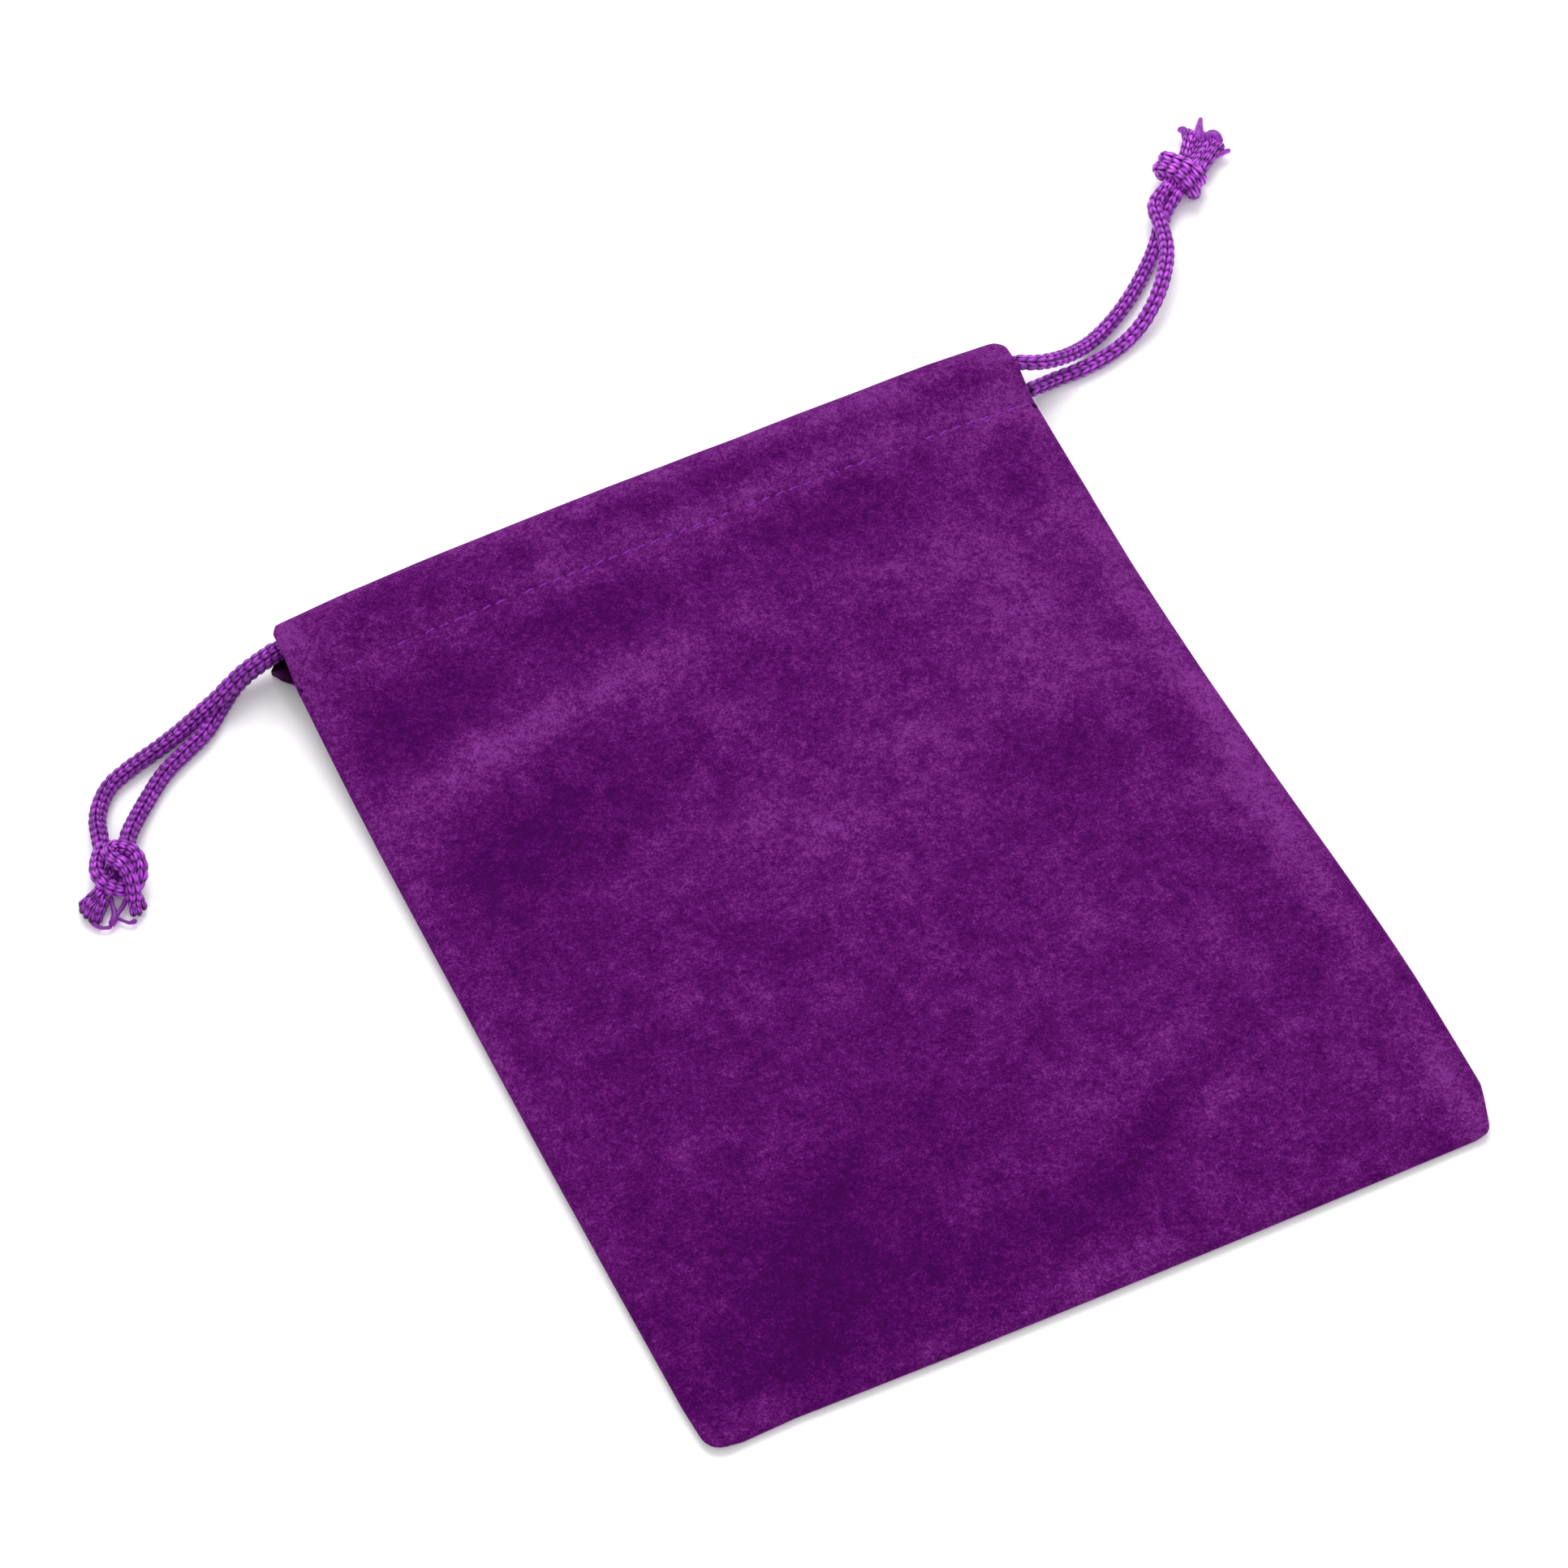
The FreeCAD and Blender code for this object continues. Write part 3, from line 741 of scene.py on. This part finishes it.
for side_name, knot, ends in (("right", right_knot, right_ends), ("left", left_knot, left_ends)):
    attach(knot, f"{side_name}_cord")
    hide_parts(f"{side_name}_cord_knot")
    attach(ends, f"{side_name}_cord")
    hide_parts(f"{side_name}_cord_frayed_ends")

for key, (obj, path) in tails.items():
    side_name, face = key.split("_")
    knot = right_knot if side_name == "right" else left_knot
    ends = right_ends if side_name == "right" else left_ends

# ---------------------------------------------------------------- velvet
# The cloth is lofted, in millimetres: a profile of (y, share of the bag's height there) runs from the
# front hem's cut edge over the mouth, down the front, round the bottom fold and up the back.
hem_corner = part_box("front_hem")[1]
HALF_WIDTH = round(hem_corner.x / MM, 2)
HALF_LENGTH = round(hem_corner.y / MM, 2)
PLY = round(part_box("back_panel")[1].z / MM, 2)
STITCH_Y = 53.0  # the row of stitches under the casings
STITCH_PITCH = 1.9
MOUTH_BOW_Z = 0.4  # how much higher the mouth's middle stands than its ends
# painted shade for the bag's inside
INSIDE_PAINTED_SHADE = -0.5  # the shaded inside of the bag
NAP_AND_SHEEN_DEPTH = 0.65
EDGE_RUN = 4.5  # the columns stand closer over this width beside a side seam


def smooth(x):
    x = np.clip(x, 0.0, 1.0)
    return x * x * (3 - 2 * x)


# heights against y, on the bag's middle line and along its side seams
CROWN_Y = (-62.5, -61, -58, -50, -35, -10, 15, 32, 42, 48, 50.2, 51.0, 52.0, 53.0, 54.0, 55.6, 57.5, 63)
CROWN_Z = (1.5, 2.0, 2.5, 3.1, 3.6, 4.1, 4.7, 5.5, 6.3, 6.9, 7.05, 7.3, 7.35, 7.25, 7.5, 8.0, 8.2, 8.2)
SEAM_Y = (-62.5, -55, -20, 10, 28, 38, 45, 50, 54.3, 56, 57.5, 63)
SEAM_FRONT = (0.95, 1.1, 1.35, 1.6, 2.1, 2.9, 3.8, 4.6, 5.4, 6.6, 7.7, 7.9)
SEAM_BACK = (0.95, 1.1, 1.35, 1.6, 2.1, 2.9, 3.8, 4.6, 5.2, 3.9, 2.4, 0.0)
SEAM_BACK_Y = (-62.5, -55, -20, 10, 28, 38, 45, 50, 54.3, 56, 58, 60.5)

# small departures of the real outline from a rectangle
LEFT_TRIM_Y = (-62, -55, -20, 10, 50)
LEFT_TRIM = (-0.4, 0.0, 0.0, -0.15, -0.1)
RIGHT_TRIM_Y = (-60, -40, -20, 0, 40, 50, 62)
RIGHT_TRIM = (0.0, 0.25, 0.15, -0.1, -0.4, -0.7, -1.0)
BOTTOM_TRIM_X = (-51, -48, -40, -20, 20, 50)
BOTTOM_TRIM = (-0.3, 0.7, 1.0, 0.6, 0.0, -0.5)
MOUTH_RISE_X = (-51, -40, -30, -10, 10, 40, 51)
MOUTH_RISE = (0.2, 0.9, 1.3, 1.7, 1.8, 2.2, 1.8)


def mouth_rise(x, y):
    """How far the mouth's edge runs out beyond a straight line, fading towards the panels."""
    return np.interp(x, MOUTH_RISE_X, MOUTH_RISE) * smooth((y - 45.0) / 16.5)


def mouth_bow(share, y):
    return MOUTH_BOW_Z * (1 - share**2) * smooth((y - 46.0) / 15.0)


def rounded(up, radius):
    """What a bottom corner of that radius takes off the half-width, at a height up from the bottom."""
    short = np.clip(1 - up / radius, 0, 1)
    return radius * (1 - np.sqrt(np.clip(1 - short**2, 0, 1)))


def outline(share, y):
    """Half-width of the bag at y, on the side that share is on."""
    up = y + HALF_LENGTH
    left = HALF_WIDTH + 0.25 * np.sin(np.pi * up / (2 * HALF_LENGTH)) - rounded(up, 3.4)
    right = HALF_WIDTH - 0.4 * np.exp(-(((y - 22) / 26) ** 2)) + 0.55 * np.exp(-(((y + 36) / 20) ** 2))
    right = right - 2.1 * np.clip(1 - up / 6.4, 0, 1) ** 1.15 - rounded(up, 1.1)
    left = left + np.interp(y, LEFT_TRIM_Y, LEFT_TRIM)
    right = right + np.interp(y, RIGHT_TRIM_Y, RIGHT_TRIM)
    return np.where(share < 0, left, right)


# soft creases pressed into the cloth: x, y, direction in degrees, half-length, half-width, height
CREASES = (
    (44.0, 33.0, 20, 9.0, 2.6, -0.45),
    (-22.0, 35.0, 12, 24.0, 4.0, 0.35),
    (-33.0, 22.0, 20, 14.0, 6.0, -0.45),
    (10.0, 6.0, 35, 22.0, 4.5, 0.35),
    (28.0, 12.0, 30, 16.0, 4.0, -0.3),
    (-5.0, 20.0, 30, 12.0, 3.5, -0.2),
    (-10.0, -18.0, 60, 16.0, 5.0, -0.3),
    (20.0, -14.0, -20, 20.0, 5.0, 0.25),
    (8.0, -44.0, 30, 18.0, 3.5, 0.35),
    (14.0, -50.0, 30, 16.0, 3.5, -0.35),
    (-38.0, -38.0, 70, 18.0, 5.0, 0.3),
    (38.0, -30.0, 80, 20.0, 4.0, 0.3),
    (-44.0, 44.0, 40, 8.0, 3.0, -0.4),
    (12.0, 46.0, 4, 26.0, 3.0, -0.3),
)


def soft_spots(spots, x, y):
    """Sum of long soft spots: x, y, direction in degrees, half-length, half-width and strength of each."""
    total = np.zeros(np.broadcast(x, y).shape)
    for cx, cy, angle, half_length, half_width, strength in spots:
        c, s = math.cos(math.radians(angle)), math.sin(math.radians(angle))
        along = (x - cx) * c + (y - cy) * s
        across = -(x - cx) * s + (y - cy) * c
        total = total + strength * np.exp(-((along / half_length) ** 2) - (across / half_width) ** 2)
    return total


def clouds(x, y, size, seed):
    """Smooth random field of that feature size in millimetres, about -1 to 1."""
    flat = np.array(
        [
            noise.noise(Vector((a / size, b / size, seed)))
            + 0.5 * noise.noise(Vector((2 * a / size, 2 * b / size, seed + 7)))
            for a, b in zip(np.ravel(x), np.ravel(y))
        ]
    )
    return flat.reshape(np.shape(x))


def front_top(share, y):
    """Height of the front's outer face; share is x over the half-width."""
    edge = np.interp(y, SEAM_Y, SEAM_FRONT)
    crown = np.interp(y, CROWN_Y, CROWN_Z)
    d = (1 - np.abs(share)) * HALF_WIDTH
    roll_run = 1.5 + 1.6 * smooth((y - 30) / 20)
    roll = np.sqrt(np.clip(1 - (1 - np.minimum(d / roll_run, 1)) ** 2, 0, 1))
    rolled = np.minimum(1.05, 0.55 * (crown - edge))
    broad = 1 - np.abs(share) ** 3.2
    return edge + rolled * roll + (crown - edge - rolled) * broad


def back_bottom(share, y):
    """Height of the back's outer face, which lies on the table but for its sides."""
    edge = np.interp(y, SEAM_BACK_Y, SEAM_BACK)
    d = (1 - np.abs(share)) * HALF_WIDTH
    run = 1.7 + 4.5 * smooth((y - 15) / 35)
    return edge * np.clip(1 - d / run, 0, 1) ** 2


# y and height, before the mouth's bow: round the front casing, from the hem's cut edge to its outer face
FRONT_CASING = (
    (50.8, 6.15), (51.8, 6.15), (52.8, 6.05), (53.6, 5.75), (54.6, 5.25), (55.8, 4.98), (57.5, 4.92),
    (59.5, 4.92), (60.9, 5.05), (61.8, 5.55), (62.2, 6.2), (62.25, 6.9), (61.85, 7.6), (61.0, 8.05),
    (59.8, 8.2), (58.2, 8.2), (56.8, 8.15),
)
MOUTH_HEIGHT = CROWN_Z[-1]
BACK_CASING = tuple((y, MOUTH_HEIGHT - z) for y, z in reversed(FRONT_CASING))
# the bottom fold, from the front round to the back: y and share of the height
BOTTOM_FOLD = (
    (-61.4, 1.0), (-61.9, 0.97), (-62.25, 0.86), (-62.45, 0.7), (-62.5, 0.5), (-62.42, 0.3),
    (-62.2, 0.13), (-61.8, 0.03), (-61.3, 0.0),
)


def spline_through(points, step):
    """Points on a smooth line through given ones, about step apart."""
    p = np.array(points, float)
    p = np.vstack([2 * p[0] - p[1], p, 2 * p[-1] - p[-2]])
    out = []
    for k in range(1, len(p) - 2):
        n = max(2, int(np.linalg.norm(p[k + 1] - p[k]) / step + 0.5))
        t = np.linspace(0, 1, n, endpoint=False)[:, None]
        a, b, c, d = p[k - 1], p[k], p[k + 1], p[k + 2]
        square = (2 * a - 5 * b + 4 * c - d) * t**2
        out.append(0.5 * (2 * b + (c - a) * t + square + (3 * b - a - 3 * c + d) * t**3))
    out.append(p[-2][None])
    return np.vstack(out)


def build_profile():
    """Rows of (y, share of height, is inner ply)."""
    rows = []
    casing = spline_through(FRONT_CASING, 0.42)
    for y, z in casing:
        inner = y < 61.2 and z < 6.5
        rows.append((y, min(z / np.interp(y, CROWN_Y, CROWN_Z), 1.0), inner))
    front = [np.arange(casing[-1][0] - 0.35, 49.5, -0.35), np.arange(49.2, -56.0, -0.95)]
    front.append(np.arange(-56.2, -61.0, -0.45))
    rows += [(y, 1.0, False) for y in np.concatenate(front)]
    rows += [(y, share, False) for y, share in BOTTOM_FOLD]
    back = [np.arange(-60.8, -56.0, 0.6), np.arange(-55.2, 49.5, 1.7), np.arange(50.0, 56.4, 0.6)]
    rows += [(y, 0.0, False) for y in np.concatenate(back)]
    for y, z in spline_through(BACK_CASING, 0.5):
        inner = y < 61.2 and z > 1.7
        rows.append((y, max(z, 0.0) / np.interp(y, CROWN_Y, CROWN_Z), inner))
    return rows


PROFILE = build_profile()

# the nap: the pile brushed dark or light, and painted sheen in long bands on the side seams, mouth edge and
# bottom fold and at the mouth's left corner; x, y, direction, half-length, half-width, strength
NAP_AND_SHEEN = (
    (-34.0, 21.0, 15, 15.0, 7.0, -0.34),
    (-26.0, 36.0, 8, 20.0, 3.2, 0.48),
    (-38.0, 43.0, 0, 10.0, 4.0, -0.30),
    (-12.0, 48.0, 2, 26.0, 3.4, -0.22),
    (14.0, 55.5, 0, 38.0, 1.6, 0.20),
    (6.0, 10.0, 40, 24.0, 10.0, 0.22),
    (34.0, 28.0, 60, 16.0, 8.0, 0.26),
    (31.0, 6.0, 10, 12.0, 5.0, -0.18),
    (-34.0, -50.0, 30, 26.0, 15.0, -0.44),
    (-36.0, -2.0, 80, 18.0, 5.0, -0.16),
    (8.0, -49.0, 28, 20.0, 3.0, -0.28),
    (14.0, -38.0, 20, 20.0, 5.0, 0.12),
    (48.0, -5.0, 90, 70.0, 3.0, 0.52),
    (-50.0, 20.0, 90, 60.0, 1.8, 0.24),
    (0.0, -61.0, 0, 50.0, 2.2, 0.24),
    (0.0, 62.5, 0, 60.0, 1.9, 0.40),
    (-49.0, 58.0, 0, 6.0, 5.0, 0.28),
    (-35.0, 60.0, 0, 9.0, 3.0, -0.22),
    (-6.0, 53.0, 0, 16.0, 3.0, 0.28),
    (44.0, 53.0, 0, 8.0, 4.0, 0.22),
    (44.0, 43.0, 0, 8.0, 4.0, -0.18),
    (-47.0, 36.0, 0, 6.0, 4.0, -0.16),
    (22.0, 37.0, 0, 9.0, 5.0, 0.18),
    (20.0, 20.0, 0, 8.0, 4.0, -0.20),
    (-16.0, 12.0, 0, 8.0, 5.0, 0.18),
    (40.0, 12.0, 0, 6.0, 6.0, 0.26),
    (-48.0, -2.0, 90, 9.0, 4.0, -0.20),
    (-12.0, -5.0, 10, 10.0, 4.5, -0.22),
    (0.0, -20.0, 0, 6.0, 4.0, -0.18),
    (49.0, -30.0, 90, 12.0, 3.0, -0.20),
    (-8.0, -52.0, 0, 7.0, 4.0, -0.18),
    (22.0, -44.0, 0, 9.0, 4.0, 0.13),
    (-44.0, -60.0, 0, 10.0, 3.5, 0.20),
    (19.0, -60.0, 0, 9.0, 3.5, -0.20),
)


def column_shares():
    """Places of the columns of points, from -1 at the left side seam to 1 at the right one."""
    flat = np.linspace(0, HALF_WIDTH - EDGE_RUN, 72)
    turn = np.sin(np.linspace(0, 1, 15)[1:] * np.pi / 2)
    half = np.concatenate([flat, HALF_WIDTH - EDGE_RUN * (1 - turn)]) / HALF_WIDTH
    return np.concatenate([-half[:0:-1], half])


def lofted(share, y, h, inner):
    """The plain sheet's x and z, and where the back casing's left end slumps."""
    side = np.sign(share)
    bottom = back_bottom(share, y)
    z = bottom + h * (front_top(share, y) - bottom)
    # the plies inside stop short of the side seams, and of the casings' open ends
    at_end = smooth((np.abs(share) - 0.88) / 0.12)
    inset = (1.3 + 1.9 * smooth((58.0 - y) / 1.6)) * inner * at_end
    nose = (y > 57) * (~inner) * smooth((0.93 - h) / 0.25) * (h > 0.35)
    x = share * outline(share, y) - side * (inset + 1.1 * nose * at_end)
    # the back casing's end bulges out past the front's on the left
    slump = smooth((y - 54.0) / 3.0) * smooth((0.5 - h) / 0.5) * at_end * (side < 0)
    return x - 0.75 * slump, z, slump


def wrinkled(share, x, y, z, h, inner):
    """The sheet's z with creases, uneven casings, stitch grooves and a bowed mouth."""
    to_seam = 1 - np.abs(share)
    fade = smooth((52.0 - y) / 6.0) * smooth((y + 62.0) / 7.0) * smooth(to_seam / 0.10)
    z = z + fade * h * (soft_spots(CREASES, x, y) + 0.30 * clouds(x, y, 21.0, 3.0))
    casing = smooth((y - 50.0) / 4.0) * (~inner) * h
    z = z + casing * 0.10 * clouds(x, y, 9.0, 11.0) * smooth(to_seam / 0.04)
    # the stitch line draws the cloth in, at each stitch a little more
    groove = np.exp(-(((y - STITCH_Y) / 0.55) ** 2)) * (0.30 + 0.14 * np.cos(2 * np.pi * x / STITCH_PITCH))
    pucker = np.exp(-(((y - STITCH_Y) / 2.0) ** 2)) * 0.10 * clouds(x, y * 0.4, 3.2, 5.0)
    z = np.where((h > 0.6) & (y > 45), z - groove + np.where(inner, 0.0, pucker), z)
    z = np.where(h < 0.001, z + np.minimum(groove, 0.3), z)
    return z + mouth_bow(share, y) * h


def inner_face(share, outer):
    """The sheet's other face, one ply further in along its normals, and those normals."""
    normal = np.cross(np.gradient(outer, axis=1), np.gradient(outer, axis=0))
    normal /= np.maximum(np.linalg.norm(normal, axis=-1), 1e-9)[..., None]
    x, y, z = np.moveaxis(outer - normal * PLY, -1, 0)
    z = np.maximum(z, 0.02)
    # at the bottom corners the sheet turns too sharply for its normals: keep the face inside
    low = outer[..., 1] < -57.0
    lowest = outer[..., 1].min(axis=1, keepdims=True)
    y = np.where(low, np.maximum(y, lowest + 0.3), y)
    corner = low & (np.abs(share) > 0.97)
    x = np.where(corner, np.sign(share) * np.minimum(np.abs(x), np.abs(outer[..., 0]) - 0.15), x)
    z = np.where(corner, np.clip(z, 0.55, 0.8), z)
    return np.stack([x, y, z], -1), normal


def cloth_grid():
    """Outer and inner faces of the whole bag in metres, normals, and the colour value of each face: nap,
    painted sheen and painted shade.
    """
    rows_y, rows_h, rows_inner = (np.array(values) for values in zip(*PROFILE))
    share, y = np.meshgrid(column_shares(), rows_y, indexing="ij")
    h, inner = rows_h[None, :], rows_inner[None, :]
    x, z, slump = lofted(share, y, h, inner)
    z = wrinkled(share, x, y, z, h, inner)
    # round corners of the casings in plan
    x = x - np.sign(share) * 0.9 * smooth((y - 60.2) / 2.0) * smooth((np.abs(share) - 0.96) / 0.04)
    y = y + mouth_rise(x, y) - 0.35 * (1 - share**2) * smooth((-52 - y) / 9)
    y = y + np.interp(x, BOTTOM_TRIM_X, BOTTOM_TRIM) * smooth((-30 - y) / 30)
    outer = np.stack([x, y, np.maximum(z, 0.0)], -1)
    inside, normal = inner_face(share, outer)
    nap = 0.5 + NAP_AND_SHEEN_DEPTH * soft_spots(NAP_AND_SHEEN, x, y)
    nap = nap + 0.11 * clouds(x, y, 13.0, 21.0) + 0.08 * clouds(x, y, 4.5, 31.0)
    # painted shade: the inside of the bag and the slumped end of the back casing are made dark
    nap = np.where(inner, INSIDE_PAINTED_SHADE, nap - 2.6 * slump)
    # beside the seams and the fold, the inner face keeps the outer face's colour; elsewhere it is painted
    # dark as shade
    at_seam = (np.abs(share) > 0.97) & (y < 50.0) | (y < -60.0)
    return outer * MM, inside * MM, normal, nap, np.where(at_seam, nap, INSIDE_PAINTED_SHADE)


def add_cloth(outer, inside, normal, nap, inner_nap_and_shade, name):
    columns, rows = outer.shape[:2]
    faces = slab_faces(columns, rows)
    sheet_faces = 2 * (columns - 1) * (rows - 1)
    builder = Builder()
    points = np.concatenate([outer.reshape(-1, 3), inside.reshape(-1, 3)])
    builder.add(points, faces, nap=np.concatenate([nap.ravel(), inner_nap_and_shade.ravel()]))
    obj = builder.build(name, VELVET)
    mesh = obj.data
    mesh.polygons.foreach_set("use_smooth", (np.arange(len(faces)) < sheet_faces).tolist())
    # the halves take their shading from the whole sheet, so that no line shows where they meet
    at_points = np.concatenate([normal.reshape(-1, 3), -normal.reshape(-1, 3)])
    corners = np.empty(len(mesh.loops), int)
    mesh.loops.foreach_get("vertex_index", corners)
    shading = at_points[corners]
    shading[4 * sheet_faces :] = 0.0
    mesh.normals_split_custom_set(shading.tolist())
    return obj


def gather(obj):
    """Bakes the piece's placement into its mesh."""
    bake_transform(obj)


sheet_grids = cloth_grid()
middle = len(sheet_grids[0]) // 2
cloth = {
    -1: add_cloth(*(g[: middle + 1] for g in sheet_grids), "velvet_left"),
    1: add_cloth(*(g[middle:] for g in sheet_grids), "velvet_right"),
}


# ---------------------------------------------------------------- stitches
THREAD_RADIUS = 0.13 * MM
THREAD_RINGS = 9
THREAD_SIDES = 6
# millimetres from here on
STITCH_LENGTH = 1.15
STITCH_LIFT = 0.12
STITCHES_PER_HALF = 26
BACK_STITCH_Z = 2.15
SEAM_STITCHES = 42
SEAM_STITCH_START = -57.0
SEAM_STITCH_PITCH = 2.5
SEAM_STITCH_LENGTH = 1.6
SEAM_STITCH_LIFT = 0.08
SEAM_STITCH_X = 49.4
SEAM_EDGE_X = (46.2, 47.0, 47.9, 48.8)
SEAM_EDGE_Y = np.linspace(-58.5, 50.5, 80)
SEAM_EDGE_PLY = 0.42


def thread_stitch(builder, start, end, lift):
    """One stitch: a thread that comes up out of the cloth and goes back in."""
    start, end = np.array(start, float), np.array(end, float)
    up = np.array((0.0, 0.0, lift))
    points = [start - up, start + up * 0.6, (start + end) / 2 + up, end + up * 0.6, end - up]
    line = Line(sampled([tuple(p) for p in points], 4))
    s = np.linspace(0, line.length, THREAD_RINGS)
    shape, phi = tube_points(line, s, THREAD_RADIUS, THREAD_SIDES)
    strand = np.broadcast_to(np.cos(phi) + rng.uniform(0, 20), (THREAD_RINGS, THREAD_SIDES))
    builder.add(shape, ring_faces(1, THREAD_RINGS, THREAD_SIDES), strand=strand.ravel())


def front_stitch_z(x):
    """Height of the front's row of stitches, which lies in its groove."""
    share = np.clip(x / HALF_WIDTH, -1, 1)
    top = front_top(share, STITCH_Y) + mouth_bow(share, STITCH_Y)
    return top - 0.35 - 0.07 * smooth((-x - 8.0) / 34.0)


def hem_stitches(side, face):
    """One half of a row of stitches through a casing's edge."""
    builder = Builder()
    for k in range(STITCHES_PER_HALF):
        x = side * (0.5 + k) * STITCH_PITCH
        y = STITCH_Y + mouth_rise(x, STITCH_Y)
        slant = 0.10 + rng.normal(0, 0.04)
        half = STITCH_LENGTH * (1 + rng.normal(0, 0.06)) / 2
        sunk = rng.normal(0.0, 0.035) if face == "front" else 0.0
        ends = []
        for end in (-1, 1):
            z = front_stitch_z(x + end * half) + sunk if face == "front" else BACK_STITCH_Z
            ends.append(((x + end * half) * MM, (y + end * slant) * MM, z * MM))
        thread_stitch(builder, *ends, STITCH_LIFT * MM)
    return builder


def seam_edge(y):
    return np.interp(y, SEAM_Y, SEAM_FRONT)


def seam_strip(side):
    """The seam's two turned-in edges, lying together inside the bag."""
    builder = Builder()
    x, y = np.meshgrid(side * np.array(SEAM_EDGE_X), SEAM_EDGE_Y, indexing="ij")
    faces = slab_faces(*x.shape)
    if side < 0:
        faces = [face[::-1] for face in faces]
    for ply in (0, 1):
        z = np.maximum(0.62, 0.55 * seam_edge(y)) + 0.5 * ply
        if ply == 1:
            z = np.minimum(z, np.maximum(1.1, seam_edge(y) + 0.3))
        lower = np.stack([x, y, z + 0.05 * np.sin(y / 4.0 + ply)], -1).reshape(-1, 3)
        builder.add(np.concatenate([lower, lower + (0, 0, SEAM_EDGE_PLY)]) * MM, faces, nap=0.3)
    return builder


def seam_stitches(side):
    builder = Builder()
    for k in range(SEAM_STITCHES):
        y = SEAM_STITCH_START + SEAM_STITCH_PITCH * k
        z = max(0.95, 0.8 * seam_edge(y))
        ends = [(side * SEAM_STITCH_X * MM, along * MM, z * MM) for along in (y, y + SEAM_STITCH_LENGTH)]
        thread_stitch(builder, *ends, SEAM_STITCH_LIFT * MM)
    return builder


NAMES = {-1: "left", 1: "right"}
for side, name in NAMES.items():
    front_row = hem_stitches(side, "front").build(f"{name}_front_hem_stitches", THREAD)
    back_row = hem_stitches(side, "back").build(f"{name}_back_hem_stitches", THREAD)
    strip = seam_strip(side).build(f"{name}_seam_edges", VELVET)
    seam_row = seam_stitches(side).build(f"{name}_seam_thread", THREAD)
    for piece, slot in (
        (front_row, "thread"),
        (back_row, "thread"),
        (strip, "velvet"),
        (seam_row, "thread"),
        (cloth[side], "velvet"),
    ):
        gather(piece)
    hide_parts("front_panel", "back_panel", "bottom_fold", "front_hem", "back_hem")
    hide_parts("front_hem_stitches")
    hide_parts("back_hem_stitches")
    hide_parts(f"{name}_seam_allowance")
    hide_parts(f"{name}_seam_stitches")


# ---------------------------------------------------------------- floor and light
def add_floor():
    bpy.ops.mesh.primitive_plane_add(size=6.0, location=(0, 0, -0.0001))
    floor = bpy.context.object
    floor.name = "floor"
    material, tree, shader = new_material("floor")
    shader.inputs["Base Color"].default_value = (0.93, 0.93, 0.93, 1.0)
    shader.inputs["Roughness"].default_value = 0.9
    floor.data.materials.append(material)


def add_light(name, location, size, power, target=(0.0, 0.01, 0.0)):
    data = bpy.data.lights.new(name, "AREA")
    data.shape = "SQUARE"
    data.size = size
    data.energy = power
    light = bpy.data.objects.new(name, data)
    light.location = location
    light.rotation_euler = (Vector(target) - Vector(location)).to_track_quat("-Z", "Y").to_euler()
    bpy.context.scene.collection.objects.link(light)


add_floor()
add_light("key", (0.25, 0.75, 1.15), 0.9, 12.4)
add_light("fill", (-0.45, -0.8, 1.1), 1.2, 6.4)
world = bpy.data.worlds.new("world")
world.use_nodes = True
world.node_tree.nodes["Background"].inputs["Color"].default_value = (1.0, 1.0, 1.0, 1.0)
world.node_tree.nodes["Background"].inputs["Strength"].default_value = 0.75
bpy.context.scene.world = world
bpy.context.scene.view_settings.view_transform = "Standard"
